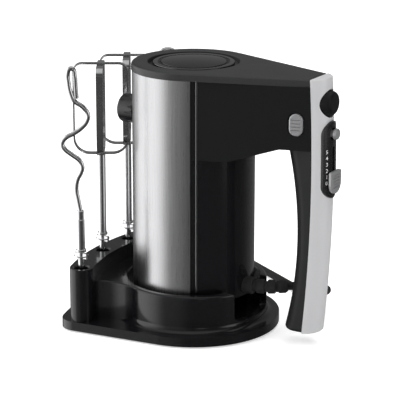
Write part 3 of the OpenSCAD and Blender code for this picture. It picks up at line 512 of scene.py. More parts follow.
BRONZE = Finish("sintered_bronze", (0.52, 0.34, 0.16), 0.45, metallic=1.0, grain_size=0.0004, depth=0.00003)
CARBON = Finish("carbon", (0.02, 0.02, 0.02), 0.6, grain_size=0.0005, depth=0.00003)
ZINC = Finish("cast_zinc", (0.45, 0.46, 0.47), 0.45, metallic=1.0, grain_size=0.001, depth=0.00003)
STEEL = Finish("turned_steel", (0.6, 0.6, 0.61), 0.24, metallic=1.0, grain=Grain.BRUSHED_ROUND,
               grain_size=0.0005, depth=0.00001)
BOARD = Finish("circuit_board", (0.02, 0.11, 0.05), 0.4, coat=0.3, grain_size=0.001)
GEAR_NYLON = Finish("gear_nylon", (0.78, 0.75, 0.66), 0.42, grain_size=0.001, depth=0.00002)
FOOT_RUBBER = Finish("foot_rubber", (0.04, 0.04, 0.04), 0.75, grain_size=0.0006, depth=0.00004)


def dress_node(node: str, finish: Finish) -> None:
    """Gives a CAD node that stays in view a finish."""
    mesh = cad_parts[node].data
    mesh.materials.clear()
    mesh.materials.append(finish.material())


def settle(obj: bpy.types.Object, finish: Finish, body: str, stands_for: Sequence[str]) -> None:
    """Dresses a piece and ties it to its body.

    Args:
        obj: The piece.
        finish: Its finish.
        body: The body that it moves with.
        stands_for: The CAD nodes that it replaces.
    """
    obj.data.materials.append(finish.material())
    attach(obj, body)
    if stands_for:
        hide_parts(*stands_for)
    LOG.info("%s on %s", obj.name, body)


def place(bm: BMesh, name: str, finish: Finish, body: str, stands_for: Sequence[str] = (),
          edge: float = 0.0, strips: int = 2) -> bpy.types.Object:
    """Makes a finished piece of a solid in millimetres.

    Args:
        bm: The solid, which is used up.
        name: Name of the piece.
        finish: Its finish.
        body: The body that it moves with.
        stands_for: The CAD nodes that it replaces.
        edge: Width of the small rounding on its sharp edges, or 0.
        strips: Number of strips across that rounding.

    Returns:
        The piece.
    """
    bmesh.ops.scale(bm, vec=(MM, MM, MM), verts=bm.verts)
    mesh = bpy.data.meshes.new(name)
    bm.to_mesh(mesh)
    bm.free()
    mesh.shade_smooth()
    mesh.set_sharp_from_angle(angle=math.radians(32))
    obj = linked(name, mesh)
    if edge > 0:
        rounding = obj.modifiers.new("edges", "BEVEL")
        rounding.width = edge * MM
        rounding.segments = strips
        rounding.limit_method = "ANGLE"
        rounding.angle_limit = math.radians(40)
        rounding.harden_normals = False
    shade = obj.modifiers.new("shading", "WEIGHTED_NORMAL")
    shade.keep_sharp = True
    settle(obj, finish, body, stands_for)
    return obj


# ---------------------------------------------------------------- camera, lights and floor

@dataclass
class Studio:
    """The camera, a pale floor, soft lights and the surroundings that the pieces mirror.

    Lengths are in metres. A soft box is its azimuth, height, half width and blur in degrees, and its
    strength.
    """

    eye: tuple[float, float, float] = (0.6868, -1.1225, 0.4741)
    target: tuple[float, float, float] = (0.0, 0.0, 0.1)
    lens: float = 166.98
    shift: tuple[float, float] = (0.0154, -0.0227)
    floor_r: float = 30.0
    wall_glow: float = 0.06
    soft_boxes: tuple[tuple[float, float, float, float, float], ...] = (
        (-156, 3, 40, 16, 1.75), (-98, 3, 24, 17, 0.28), (96, 5, 40, 18, 0.12), (2, 5, 13, 9, 1.5),
        (-47, 3, 6, 4, 1.0), (0, 90, 40, 20, 0.55),
    )

    def aim(self, obj: bpy.types.Object, spot: Sequence[float]) -> None:
        """Sets an object at a spot and turns it towards the target."""
        obj.location = spot
        obj.rotation_euler = (Vector(self.target) - Vector(spot)).to_track_quat("-Z", "Y").to_euler()

    def camera(self) -> None:
        """Makes the camera and sets it as the scene's."""
        data = bpy.data.cameras.new("camera")
        data.lens = self.lens
        data.sensor_width = 36
        data.shift_x, data.shift_y = self.shift
        data.clip_start = 0.05
        obj = linked("camera", data)
        self.aim(obj, self.eye)
        bpy.context.scene.camera = obj

    def floor(self) -> None:
        """Lays a plain pale floor, which shiny pieces don't mirror."""
        bm = bmesh.new()
        bmesh.ops.create_circle(bm, cap_ends=True, segments=96, radius=self.floor_r)
        mesh = bpy.data.meshes.new("floor")
        bm.to_mesh(mesh)
        bm.free()
        floor = linked("floor", mesh)
        pale = Finish("floor_paint", (0.93, 0.93, 0.93), 0.7, grain_size=0.004, depth=0.000001,
                      tone_spread=0.005, rough_spread=0.02, glow=0.55)
        mesh.materials.append(pale.material())
        floor.visible_glossy = False

    def lamp(self, name: str, spot: Sequence[float], size: float, watts: float) -> None:
        """Hangs a square soft light that faces the mixer."""
        data = bpy.data.lights.new(name, "AREA")
        data.shape = "SQUARE"
        data.size = size
        data.energy = watts
        obj = linked(name, data)
        self.aim(obj, spot)
        obj.visible_glossy = False

    def surroundings(self) -> None:
        """Paints the world: white to look at, and soft boxes on grey walls for the pieces to mirror."""
        world = bpy.data.worlds.new("studio")
        bpy.context.scene.world = world
        world.use_nodes = True
        tree = world.node_tree
        tree.nodes.clear()
        way = tree.nodes.new("ShaderNodeTexCoord").outputs["Generated"]
        total = None
        for azimuth, height, half, blur, gain in self.soft_boxes:
            a, h = math.radians(azimuth), math.radians(height)
            dot = tree.nodes.new("ShaderNodeVectorMath")
            dot.operation = "DOT_PRODUCT"
            dot.inputs[1].default_value = (math.cos(a) * math.cos(h), math.sin(a) * math.cos(h), math.sin(h))
            tree.links.new(way, dot.inputs[0])
            rise = tree.nodes.new("ShaderNodeMapRange")
            rise.interpolation_type = "SMOOTHSTEP"
            rise.inputs["From Min"].default_value = math.cos(math.radians(half + blur))
            rise.inputs["From Max"].default_value = math.cos(math.radians(max(half - blur, 0)))
            rise.inputs["To Min"].default_value = 0.0
            rise.inputs["To Max"].default_value = gain
            tree.links.new(dot.outputs["Value"], rise.inputs["Value"])
            add = tree.nodes.new("ShaderNodeMath")
            add.inputs[1].default_value = self.wall_glow
            if total is not None:
                tree.links.new(total, add.inputs[1])
            tree.links.new(rise.outputs["Result"], add.inputs[0])
            total = add.outputs["Value"]
        seen = tree.nodes.new("ShaderNodeLightPath").outputs["Is Camera Ray"]
        mix = tree.nodes.new("ShaderNodeMix")
        tree.links.new(seen, mix.inputs["Factor"])
        tree.links.new(total, mix.inputs["A"])
        mix.inputs["B"].default_value = 1.0
        sky = tree.nodes.new("ShaderNodeBackground")
        tree.links.new(mix.outputs["Result"], sky.inputs["Strength"])
        out = tree.nodes.new("ShaderNodeOutputWorld")
        tree.links.new(sky.outputs["Background"], out.inputs["Surface"])

    def build(self) -> None:
        """Sets up everything that isn't part of the mixer."""
        self.camera()
        self.floor()
        self.surroundings()
        self.lamp("key", (-1.3, -1.2, 1.6), 1.4, 26)
        self.lamp("fill", (1.6, -0.7, 1.2), 1.2, 9)
        self.lamp("top", (0.2, 0.5, 2.0), 1.6, 22)
        bpy.context.scene.view_settings.view_transform = "Standard"


# ---------------------------------------------------------------- mains lead

@dataclass
class Lead:
    """The mains lead: ribbed bend guard, cord, coil and plug.

    The route and the tail are in metres, the rest in millimetres. A bead of the guard is its radius and
    where it starts and ends, as shares of the bend.
    """

    diameter: float = 6.0
    guard_x: float = 43.0
    guard_bend: float = 42.0
    guard_turn: float = 45.0
    guard_z: float = 35.3
    beads: tuple[tuple[float, float, float], ...] = (
        (6.4, 0.02, 0.26), (5.4, 0.32, 0.5), (5.2, 0.56, 0.74), (4.9, 0.8, 0.98),
    )
    coil_centre: Point = (-66.0, 114.0)
    outer_r: float = 36.0
    turn_step: float = 6.1
    layer_z: float = 9.02
    upper_end_r: float = 33.0
    plug_at: tuple[float, float, float] = (-92.0, 121.0, 19.5)
    plug_l: float = 36.0
    pin_gap: float = 18.6
    route: tuple[tuple[float, float, float], ...] = (
        (0.0727, 0.0123, 0.0353), (0.0794, 0.0210, 0.0343), (0.0836, 0.0311, 0.0318),
        (0.0850, 0.0420, 0.0280), (0.0836, 0.0529, 0.0234), (0.0794, 0.0630, 0.0185),
        (0.0727, 0.0717, 0.0136), (0.0640, 0.0784, 0.0092), (0.0511, 0.0862, 0.0048),
        (0.0382, 0.0938, 0.0031), (0.0220, 0.1034, 0.0030), (0.0060, 0.1130, 0.0030),
        (-0.0100, 0.1225, 0.0030), (-0.0280, 0.1333, 0.0030), (-0.0480, 0.1452, 0.0030),
    )
    tail: tuple[tuple[float, float, float], ...] = (
        (-0.0660, 0.1470, 0.0130), (-0.0760, 0.1450, 0.0153), (-0.0844, 0.1394, 0.0174),
        (-0.0900, 0.1310, 0.0189), (-0.0920, 0.1210, 0.0195),
    )

    @staticmethod
    def ease(value: float, start: float, length: float) -> float:
        """Rises smoothly from 0 to 1 over a stretch."""
        u = min(max((value - start) / length, 0.0), 1.0)
        return u * u * (3 - 2 * u)

    def coil_point(self, turn: float) -> tuple[float, float, float]:
        """Gives the cord's middle at an angle along the coil, in metres.

        Args:
            turn: Degrees from +X, counted on through all the turns.

        Returns:
            The point.
        """
        lower = self.outer_r - self.turn_step * (self.ease(turn, 330, 90) + self.ease(turn, 690, 90))
        inner = self.outer_r - 2 * self.turn_step
        upper = inner + (self.upper_end_r - inner) * (turn - 1050) / 480
        r = lower if turn <= 1050 else upper
        z = self.diameter / 2 + (self.layer_z - self.diameter / 2) * self.ease(turn, 960, 90)
        z += 4.0 * self.ease(turn, 1475, 110) / self.ease(1530, 1475, 110)
        a = math.radians(turn)
        x, y = self.coil_centre
        return (x + r * math.cos(a)) * MM, (y + r * math.sin(a)) * MM, z * MM

    def cord(self, helpers: Sequence[bpy.types.Object]) -> None:
        """Lays the cord from the guard through the coil to the plug.

        Args:
            helpers: The guard, plug and pins that go with it; not used.
        """
        coil = [self.coil_point(t) for t in range(75, 1530, 15)]
        points = [*self.route, *coil, *self.tail]
        curve = bar_curve("mains_cord", points, self.diameter / 2 * MM, 5, 4)
        obj = linked("mains_cord", curve)
        bpy.context.view_layer.update()
        settle(obj, CORD_RUBBER, "mixer", ["power_cord", "cord_coil"])

    def bent(self, r: float, start: float, end: float, rim: float) -> BMesh:
        """Makes a round bar along a share of the guard's bend.

        Args:
            r: Radius of the bar.
            start: Where it starts, as a share of the bend.
            end: Where it ends.
            rim: Rounding of its two ends.

        Returns:
            The bar.
        """
        bm = bmesh.new()
        ring = bmesh.ops.create_circle(bm, cap_ends=False, segments=36, radius=r)["verts"]
        middle = (self.guard_x, self.guard_bend, self.guard_z)
        bmesh.ops.rotate(bm, verts=ring, cent=(0, 0, 0), matrix=Matrix.Rotation(math.pi / 2, 3, "Y"))
        bmesh.ops.translate(bm, verts=ring, vec=(self.guard_x, 0, self.guard_z))
        bmesh.ops.rotate(bm, verts=ring, cent=middle,
                         matrix=Matrix.Rotation(math.radians(self.guard_turn * start), 3, "Z"))
        bmesh.ops.spin(bm, geom=bm.verts[:] + bm.edges[:], cent=middle, axis=(0, 0, 1), dvec=(0, 0, 0),
                       angle=math.radians(self.guard_turn * (end - start)),
                       steps=max(3, round(24 * (end - start))), use_merge=False, use_duplicate=False)
        cap(bm)
        return soften(bm, rim, lambda e: is_corner(e, 50), 3)

    def guard(self) -> bpy.types.Object:
        """Makes the bend guard: beads that get slimmer on a core."""
        body_r = node_box("motor_tube")[1].x
        bm = self.bent(4.1, 0.0, 1.0, 0.3)
        bm = combine(bm, Join.ADD, *[self.bent(r, a, b, 1.1) for r, a, b in self.beads])
        bm = combine(bm, Join.ADD, turned_x(wall(0, 3.9, 34, 48), 0, self.guard_z, steps=36))
        bore = turned(wall(body_r - 3.2, body_r + 0.05, 20, 50))
        bm = combine(bm, Join.CUT, bore)
        return place(bm, "bend_guard", CORD_RUBBER, "mixer", ["cord_guard"])

    def plug(self) -> list[bpy.types.Object]:
        """Makes the moulded plug and its two round pins."""
        half_w, half_h = 12.5, 6.8
        top = [(0, -5), (10, -half_w), (self.plug_l, -half_w), (self.plug_l, half_w), (10, half_w), (0, 5)]
        body = prism(top, -half_h, half_h)
        soften(body, 3.2, lambda e: is_corner(e, 20), 5)
        neck = turned_x([(0, -8), (3.9, -8), (4.4, -6.5), (5.2, 6), (0, 6)], 0, 0, steps=36)
        body = combine(body, Join.ADD, neck)
        grooves = [prism(rounded_box(1.2, 14, 0.5), h, h + 2) for h in (half_h - 0.5, -half_h - 1.5)
                   for _ in range(3)]
        for k, groove in enumerate(grooves):
            moved(groove, Matrix.Translation((16 + 4 * (k % 3), 0, 0)))
        body = combine(body, Join.CUT, *grooves)
        pins = []
        for side in SIDES:
            pins.append(turned_x([(0, self.plug_l - 8), (2, self.plug_l - 8), (2, self.plug_l + 17.8),
                                  (1.3, self.plug_l + 19), (0, self.plug_l + 19)],
                                 side * self.pin_gap / 2, 0, steps=32))
        seat = Matrix.Translation(self.plug_at) @ Matrix.Rotation(-math.pi / 2, 4, "Z")
        plug = place(moved(body, seat), "plug", CORD_RUBBER, "mixer", ["plug_body"])
        pair = place(moved(together(*pins), seat), "plug_contacts", BRASS, "mixer", ["plug_pins"],
                     edge=0.3)
        return [plug, pair]

    def build(self) -> None:
        """Makes the lead and everything on it."""
        self.cord([self.guard(), *self.plug()])


# ---------------------------------------------------------------- casing

@dataclass(frozen=True)
class Seam:
    """The long arc that the handle's cover, the grip and the arm's end share. Sizes in millimetres."""

    peak: float = 104.5
    r: float = 1100.0
    z: float = 125.0
    end_y: float = 13.5
    crown: float = 9.0
    crown_r: float = 14.625
    grip_peak: float = 90.0
    grip_r: float = 270.0
    grip_z: float = 82.0

    @property
    def far_x(self) -> float:
        """X of the arc's centre."""
        return self.peak - self.r

    def x(self, z: float) -> float:
        """Gives the seam's X at a height."""
        return self.far_x + math.sqrt(self.r ** 2 - (z - self.z) ** 2)

    def grip_x(self, z: float) -> float:
        """Gives the X of the grip's inner face at a height."""
        return self.grip_peak - self.grip_r + math.sqrt(self.grip_r ** 2 - (z - self.grip_z) ** 2)

    def crown_bar(self, grow: float, chord: float, low: float, high: float) -> BMesh:
        """Makes a bar of the cover's crowned section along the seam.

        Args:
            grow: How much thicker than the cover it is.
            chord: Distance of its flat back past the seam.
            low: Lower end, as a height.
            high: Upper end.

        Returns:
            The bar.
        """
        middle = self.r + self.crown - self.crown_r
        half = math.degrees(math.acos((self.r + chord - middle) / (self.crown_r + grow)))
        section = arc(middle, 0, self.crown_r + grow, -half, half, 40)
        turns = [math.degrees(math.asin((z - self.z) / (self.r + self.crown))) for z in (low, high)]
        return swung(section, self.far_x, self.z, turns[0], turns[1], 64)


SEAM = Seam()


@dataclass
class Casing:
    """The mixer's body: tube, jacket, trim, arm, nose cover, vent and collars. Sizes in millimetres."""

    body_r: float = 45.0
    tube_r: float = 44.3
    jacket_in: float = 44.4
    inner_r: float = 41.9
    low_z: float = 28.0
    arm_low_z: float = 135.0
    arm_z: float = 147.0
    nose_z: float = 192.5
    top_z: float = 198.0
    wall: float = 2.4
    arm_angle: float = 55.1
    jacket_edge: float = 62.0
    trim_angle: float = 1.5
    trim_edge: float = 57.0
    vent_r: float = 33.5
    vent_floor: float = 194.8
    dome_r: float = 23.9
    teeth: int = 48
    socket_y: float = 17.5
    socket_z: float = 161.0
    hole_r: float = 8.1
    guard_z: float = 35.3
    key_x: float = 93.2
    key_z: float = 165.6

    def socket_holes(self) -> list[BMesh]:
        """Makes the cutters for the two socket collars."""
        return [turned_x(wall(0, self.hole_r, 22, 48), side * self.socket_y, self.socket_z, -1)
                for side in SIDES]

    def arm_plan(self, r: float, rim: float, end_y: float, end_x: float) -> list[Point]:
        """Gives the arm's outline from above.

        Args:
            r: Radius of the round part.
            rim: Radius where the straight sides start.
            end_y: Half width at the seam.
            end_x: X of the outline's end.

        Returns:
            The outline.
        """
        a = math.radians(self.arm_angle)
        corner = (rim * math.cos(a), rim * math.sin(a))
        slope = (corner[1] - end_y) / (SEAM.peak - corner[0])
        last_y = end_y - slope * (end_x - SEAM.peak)
        return (arc(0, 0, r, self.arm_angle, 360 - self.arm_angle, 96)
                + [(corner[0], -corner[1]), (end_x, -last_y), (end_x, last_y), corner])

    def arm_side(self, lift: float, end: Sequence[Point]) -> list[Point]:
        """Gives the arm's outline from the side, raised by lift and closed by the points of its end."""
        return [(-self.body_r - 1, self.arm_low_z + lift), (self.body_r - lift, self.arm_low_z + lift),
                (SEAM.grip_x(self.arm_z), self.arm_z + lift), *end]

    def arm(self) -> None:
        """Makes the two moulded halves of the arm."""
        heights = [self.arm_z + (self.nose_z - self.arm_z) * k / 16 for k in range(17)]
        seam = [(SEAM.x(z) - 0.1, z) for z in heights] + [(-self.body_r - 1, self.nose_z)]
        back = SEAM.peak + 4
        inner_top = self.nose_z + 2
        for side in SIDES:
            shell = prism(self.arm_plan(self.tube_r, self.body_r, SEAM.end_y, back), 130, 200)
            shell = combine(shell, Join.COMMON, prism(self.arm_side(0, seam), -50, 50, Along.Y))
            inner_plan = self.arm_plan(self.inner_r, self.inner_r, SEAM.end_y - self.wall - 0.7, back)
            inner_end = [(back, self.arm_z + self.wall), (back, inner_top), (-self.body_r - 1, inner_top)]
            inner_side = prism(self.arm_side(self.wall, inner_end), -50, 50, Along.Y)
            hollow = combine(prism(inner_plan, 130, 200), Join.COMMON, inner_side)
            pill = [(u + self.key_x, v) for u, v in obround(11, self.key_z - 8.5, self.key_z + 8.5)]
            keyway = prism(pill, -30, 30, Along.Y)
            core = turned(wall(0, self.inner_r, 130, 200))
            shell = combine(shell, Join.CUT, hollow, core, keyway, *self.socket_holes())
            trim(shell, (0, 0, 0), (0, -side, 0))
            place(shell, f"arm_shell_{side_name(side)}", SATIN_BLACK, "mixer",
                  [f"arm_{side_name(side)}"], edge=0.6, strips=3)

    def tube(self) -> None:
        """Makes the gloss lower body, its foot rim and the plain sector under the arm."""
        ring = turned(wall(self.inner_r, self.tube_r, self.low_z, self.arm_low_z))
        rim = turned(wall(self.inner_r + 0.4, self.body_r, self.low_z, self.low_z + 1))
        front = turned(wall(self.tube_r - 0.6, self.body_r, self.low_z + 0.5, self.arm_low_z - 0.05),
                       48, -self.arm_angle, 2 * self.arm_angle)
        bm = combine(ring, Join.ADD, rim, front)
        way_out = turned_x(wall(0, 4, 38, 47), 0, self.guard_z)
        bm = combine(bm, Join.CUT, way_out)
        place(bm, "lower_body", GLOSS_BLACK, "mixer", ["motor_tube"], edge=0.25)

    def jacket(self) -> None:
        """Makes the steel jacket and the bright strips along its edges."""
        low, high = self.low_z + 1.1, self.nose_z - 0.1
        sheet = turned(wall(self.jacket_in, self.body_r, low, high), 160, self.jacket_edge,
                       360 - 2 * self.jacket_edge)
        sheet = combine(sheet, Join.CUT, *self.socket_holes())
        place(sheet, "jacket", BRUSHED_STEEL, "mixer", ["steel_jacket"])
        strips = [turned(wall(self.jacket_in, self.body_r + 0.3, low, high), 3, start, self.trim_angle)
                  for start in (self.trim_edge - self.trim_angle, -self.trim_edge)]
        place(together(*strips), "bright_strips", BRIGHT_TRIM, "mixer", ["trim_strips"],
              edge=0.1)

    def nose(self) -> None:
        """Makes the nose cover with its round recess."""
        r = self.body_r + 0.5
        end_x = SEAM.x(self.top_z) - 0.1
        turn = math.degrees(math.acos(r / math.hypot(end_x, SEAM.end_y)) + math.atan2(SEAM.end_y, end_x))
        plan = arc(0, 0, r, turn, 360 - turn, 128) + [(end_x, -SEAM.end_y), (end_x, SEAM.end_y)]
        bm = prism(plan, self.nose_z, self.top_z)
        soften(bm, 2.4, at_height(self.top_z), 6)
        recess = turned([(0, self.vent_floor), (self.vent_r, self.vent_floor),
                         (self.vent_r, self.top_z - 0.4), (self.vent_r + 0.5, self.top_z + 0.1),
                         (self.vent_r + 0.5, self.top_z + 1), (0, self.top_z + 1)])
        bm = combine(bm, Join.CUT, recess)
        place(bm, "nose_lid", LID_GREY, "mixer", ["nose_cover"])

    def vent(self) -> None:
        """Makes the air vent: a smooth ring, a ring of small teeth and a glossy dome."""
        top = self.top_z - 0.2
        ring = turned([(26.2, self.vent_floor), (29.4, self.vent_floor), (29.9, self.vent_floor + 0.6),
                       (29.9, top - 0.7), (29.6, top - 0.2), (29.1, top), (26.6, top), (26.2, top - 0.3)])
        floor = turned(wall(0, 26.6, self.vent_floor, self.vent_floor + 1.3))
        ring = combine(ring, Join.ADD, floor)
        teeth = []
        tooth_plan = [(24.15, -0.85), (26.5, -0.95), (26.5, 0.95), (24.15, 0.85)]
        for k in range(self.teeth):
            tooth = prism(tooth_plan, self.vent_floor + 1, top - 0.35)
            soften(tooth, 0.3, at_height(top - 0.35), 2)
            teeth.append(moved(tooth, Matrix.Rotation(math.tau * k / self.teeth, 4, "Z")))
        ring = combine(ring, Join.ADD, together(*teeth))
        place(ring, "vent_ring", VENT_BLACK, "mixer", ["vent_disc"])
        rise = 1.6
        ball = (self.dome_r ** 2 + rise ** 2) / (2 * rise)
        radii = [(self.dome_r - 0.25) * k / 20 for k in range(20, -1, -1)]
        crown = [(r, top + rise - ball + math.sqrt(ball ** 2 - r ** 2)) for r in radii]
        low = self.vent_floor + 1.4
        dome = turned([(0, low), (self.dome_r, low), (self.dome_r, top - 0.25), *crown])
        place(dome, "vent_cap", GLOSS_BLACK, "mixer", ["vent_dome"])

    def collars(self) -> None:
        """Makes the two socket collars on the round front."""
        for side in SIDES:
            y = side * self.socket_y
            flange = turned_x([(5.7, 36), (10.5, 36), *arc(8.5, 47.6, 2, 0, 90, 8), (6.4, 49.6), (5.7, 48.9)],
                              y, self.socket_z, -1, 96)
            saddle = turned(wall(0, 44.95, 140, 180), 192)
            flange = combine(flange, Join.CUT, saddle)
            neck = turned_x(wall(5.7, 7.9, 36, 46.5), y, self.socket_z, -1, 96)
            place(combine(flange, Join.ADD, neck), f"collar_{side_name(side)}", GLOSS_BLACK, "mixer",
                  [f"socket_collar_{side_name(side)}"])

    def build(self) -> None:
        """Makes the whole casing."""
        self.tube()
        self.jacket()
        self.arm()
        self.nose()
        self.vent()
        self.collars()


# ---------------------------------------------------------------- handle and controls

def loft(rings: Sequence[Sequence[tuple[float, float, float]]]) -> BMesh:
    """Joins closed rings with equal numbers of points into a solid with flat ends."""
    bm = bmesh.new()
    rows = [[bm.verts.new(p) for p in ring] for ring in rings]
    for low, high in zip(rows, rows[1:]):
        for k in range(len(low)):
            bm.faces.new((low[k - 1], low[k], high[k], high[k - 1]))
    return cap(bm)


@dataclass
class Handle:
    """The handle: silver cover, soft grip and the control panel with its numerals. Sizes in millimetres."""

    low_z: float = 11.0
    grip_top: float = 146.9
    top_z: float = 198.0
    cover_t: float = 2.2
    sleeve_t: float = 2.4
    grip_round: float = 10.5
    foot_round: float = 3.6
    panel_w: float = 19.0
    panel_z: Point = (112.0, 167.5)
    panel_proud: float = 1.4
    slot_z: Point = (120.6, 149.5)
    eject_z: float = 180.0
    turbo_z: float = 158.5
    zero_z: float = 123.8
    numeral_step: float = 4.5
    numeral_y: float = -7.0

    def cover(self) -> None:
        """Makes the silver cover with its openings."""
        bm = SEAM.crown_bar(0, 0, self.low_z - 5, self.top_z + 5)
        trim(bm, (0, 0, self.low_z), (0, 0, -1))
        trim(bm, (0, 0, self.top_z), (0, 0, 1))
        soften(bm, 2.0, at_height(self.top_z), 4)
        soften(bm, 2.0, at_height(self.low_z), 4)
        hollow = SEAM.crown_bar(-self.cover_t, -0.5, self.low_z - 5, self.top_z + 5)
        trim(hollow, (0, 0, self.low_z + self.cover_t), (0, 0, -1))
        trim(hollow, (0, 0, self.top_z - self.cover_t), (0, 0, 1))
        low, high = self.panel_z
        window = prism(obround(self.panel_w + 0.2, low - 0.1, high + 0.1), 95, 130, Along.X)
        button = turned_x(wall(0, 10.1, 95, 125), 0, self.eject_z)
        bm = combine(bm, Join.CUT, hollow, window, button)
        place(bm, "silver_cover", SILVER_PAINT, "mixer", ["handle_cover"], edge=0.35)

    def grip_ring(self, z: float, inset: float, back: float) -> list[tuple[float, float, float]]:
        """Gives the grip's section at a height.

        Args:
            z: The height.
            inset: How far inside the grip's surface it lies.
            back: How far it stops before the seam.

        Returns:
            The ring's points.
        """
        r = self.grip_round - inset
        front = SEAM.grip_x(z) + self.grip_round
        side = SEAM.end_y - inset
        flat = SEAM.end_y - self.grip_round
        end = SEAM.x(z) - back
        plan = ([(end, side)] + arc(front, flat, r, 90, 180, 12) + arc(front, -flat, r, 180, 270, 12)
                + [(end, -side)])
        return [(x, y, z) for x, y in plan]

    def grip(self) -> None:
        """Makes the soft grip sleeve."""
        r = self.foot_round
        turns = [math.radians(15 * k) for k in range(7)]
        rings = [self.grip_ring(self.low_z + r - r * math.cos(t), r - r * math.sin(t), 0.1) for t in turns]
        low = self.low_z + r
        rings += [self.grip_ring(low + (self.grip_top - low) * k / 40, 0, 0.1) for k in range(1, 41)]
        start = self.low_z + self.sleeve_t
        inner = [self.grip_ring(start + (self.grip_top + 2 - start) * k / 24, self.sleeve_t, -1)
                 for k in range(25)]
        bm = combine(loft(rings), Join.CUT, loft(inner))
        place(bm, "soft_sleeve", SOFT_GRIP, "mixer", ["grip_sleeve"], edge=0.3)

    def panel(self) -> None:
        """Makes the control panel with its slot and the turbo button's hole."""
        bar = SEAM.crown_bar(self.panel_proud, 0, self.panel_z[0] - 5, self.panel_z[1] + 5)
        face = prism(obround(self.panel_w, *self.panel_z, 32), SEAM.peak + 3, 130, Along.X)
        bm = combine(bar, Join.COMMON, face)
        slot = prism(obround(2.6, *self.slot_z), 100, 130, Along.X)
        hole = turned_x(wall(0, 4.5, 100, 130), 0, self.turbo_z)
        bm = combine(bm, Join.CUT, slot, hole)
        place(bm, "panel", PANEL_BLACK, "mixer", ["control_panel"], edge=0.5, strips=3)

    def numeral(self, text: str, z: float) -> BMesh:
        """Makes one printed numeral on the panel's curved face.

        Args:
            text: The numeral.
            z: Height of its middle.

        Returns:
            The thin solid.
        """
        curve = bpy.data.curves.new("numeral", "FONT")
        curve.body = text
        curve.size = 3.9
        curve.align_x, curve.align_y = "CENTER", "CENTER"
        curve.extrude = 0.05
        curve.resolution_u = 6
        face_r = SEAM.crown_r + self.panel_proud
        tilt = math.asin(self.numeral_y / face_r)
        far = SEAM.r + SEAM.crown - SEAM.crown_r + face_r * math.cos(tilt)
        x = SEAM.far_x + math.sqrt(far ** 2 - (z - SEAM.z) ** 2)
        sin, cos = math.sin(tilt), math.cos(tilt)
        turn = Matrix(((-sin, 0, cos, x), (cos, 0, sin, self.numeral_y), (0, 1, 0, z), (0, 0, 0, 1)))
        return moved(solid_of(curve), turn)

    def numerals(self) -> None:
        """Prints the speed numerals beside the slot."""
        marks = [self.numeral(str(k), self.zero_z + self.numeral_step * k) for k in range(6)]
        place(together(*marks), "speed_numerals", PRINT_WHITE, "mixer")

    def build(self) -> None:
        """Makes the whole handle."""
        self.cover()
        self.grip()
        self.panel()
        self.numerals()


@dataclass
class Controls:
    """The buttons and the speed slider. Sizes in millimetres."""

    eject_z: float = 180.0
    turbo_z: float = 158.5
    knob_w: float = 15.0
    knob_z: Point = (115.6, 132.0)
    knob_x: Point = (115.2, 117.5)
    key_x: float = 93.2
    key_z: float = 165.6
    key_lean: float = 17.2

    def eject(self) -> None:
        """Makes the big eject button."""
        profile = [(0, 105.7), (9.6, 105.7), (9.6, 108), (9.4, 109.6), (9.0, 111.4), (8.5, 113.1),
                   (8.1, 114.0), (7.5, 114.6), (6.7, 114.9), (5.8, 115), (0, 115)]
        bm = turned_x(profile, 0, self.eject_z, steps=96)
        place(bm, "eject_key", SATIN_BLACK, "ejector", ["eject_button"])

    def turbo(self) -> None:
        """Makes the small turbo button."""
        profile = [(0, 103.7), (2.6, 103.7), (2.6, 114.6), (3.6, 115.2), (4, 115.8), (4, 117), (3.8, 117.6),
                   (3.4, 117.9), (2.9, 118), (0, 118)]
        bm = turned_x(profile, 0, self.turbo_z)
        place(bm, "turbo_key", SILVER_KEY, "turbo_button", ["turbo_button"])

    def slider(self) -> None:
        """Makes the speed slider's ribbed knob and its stem."""
        r = self.knob_w / 2
        low, high = self.knob_z
        plan = (arc(r - 1.5, high - 1.5, 1.5, 0, 90, 5) + arc(1.5 - r, high - 1.5, 1.5, 90, 180, 5)
                + arc(0, low + r, r, 180, 360, 32))
        bm = prism(plan, *self.knob_x, Along.X)
        soften(bm, 0.7, lambda e: is_corner(e) and all(v.co.x > self.knob_x[1] - 0.01 for v in e.verts), 3)
        middle = (low + high) / 2
        ribs = [prism(rounded_box(9, 1, 0.4, 3), self.knob_x[1] - 0.5, self.knob_x[1] + 1, Along.X)
                for _ in range(5)]
        for k, rib in enumerate(ribs):
            moved(rib, Matrix.Translation((0, 0, middle + 1 + 2.2 * (k - 2))))
        bm = combine(bm, Join.CUT, *ribs)
        stem = prism([(-0.9, middle - 2.6), (0.9, middle - 2.6), (0.9, middle + 2.6), (-0.9, middle + 2.6)],
                     SEAM.x(middle) + 1.3, self.knob_x[0] + 0.8, Along.X)
        bm = combine(bm, Join.ADD, stem)
        place(bm, "speed_knob", SILVER_KEY, "speed_slider", ["speed_slider"])

    def keys(self) -> None:
        """Makes the ribbed side buttons."""
        face = SEAM.end_y + (SEAM.peak - self.key_x) * math.tan(math.radians(self.key_lean))
        for side in SIDES:
            bm = prism(obround(10, -8, 8), -2.5, 2.5, Along.Y)
            soften(bm, 1.0, lambda e: is_corner(e) and all(v.co.y * side > 2.49 for v in e.verts), 4)
            for z in (-3.75, -1.25, 1.25, 3.75):
                rib = prism(rounded_box(7.2, 0.7, 0.3, 3), 1.9, 4, Along.Y)
                moved(rib, Matrix.Translation((0, 0, z)))
                if side < 0:
                    moved(rib, Matrix.Rotation(math.pi, 4, "Z"))
                bm = combine(bm, Join.CUT, rib)
            seat = (Matrix.Translation((self.key_x, side * (face - 1.2), self.key_z))
                    @ Matrix.Rotation(math.radians(-side * self.key_lean), 4, "Z"))
            node = f"side_button_{side_name(side)}"
            place(moved(bm, seat), f"side_key_{side_name(side)}", SILVER_KEY, node, [node])

    def build(self) -> None:
        """Makes all the controls."""
        self.eject()
        self.turbo()
        self.slider()
        self.keys()


# ---------------------------------------------------------------- stand and accessories

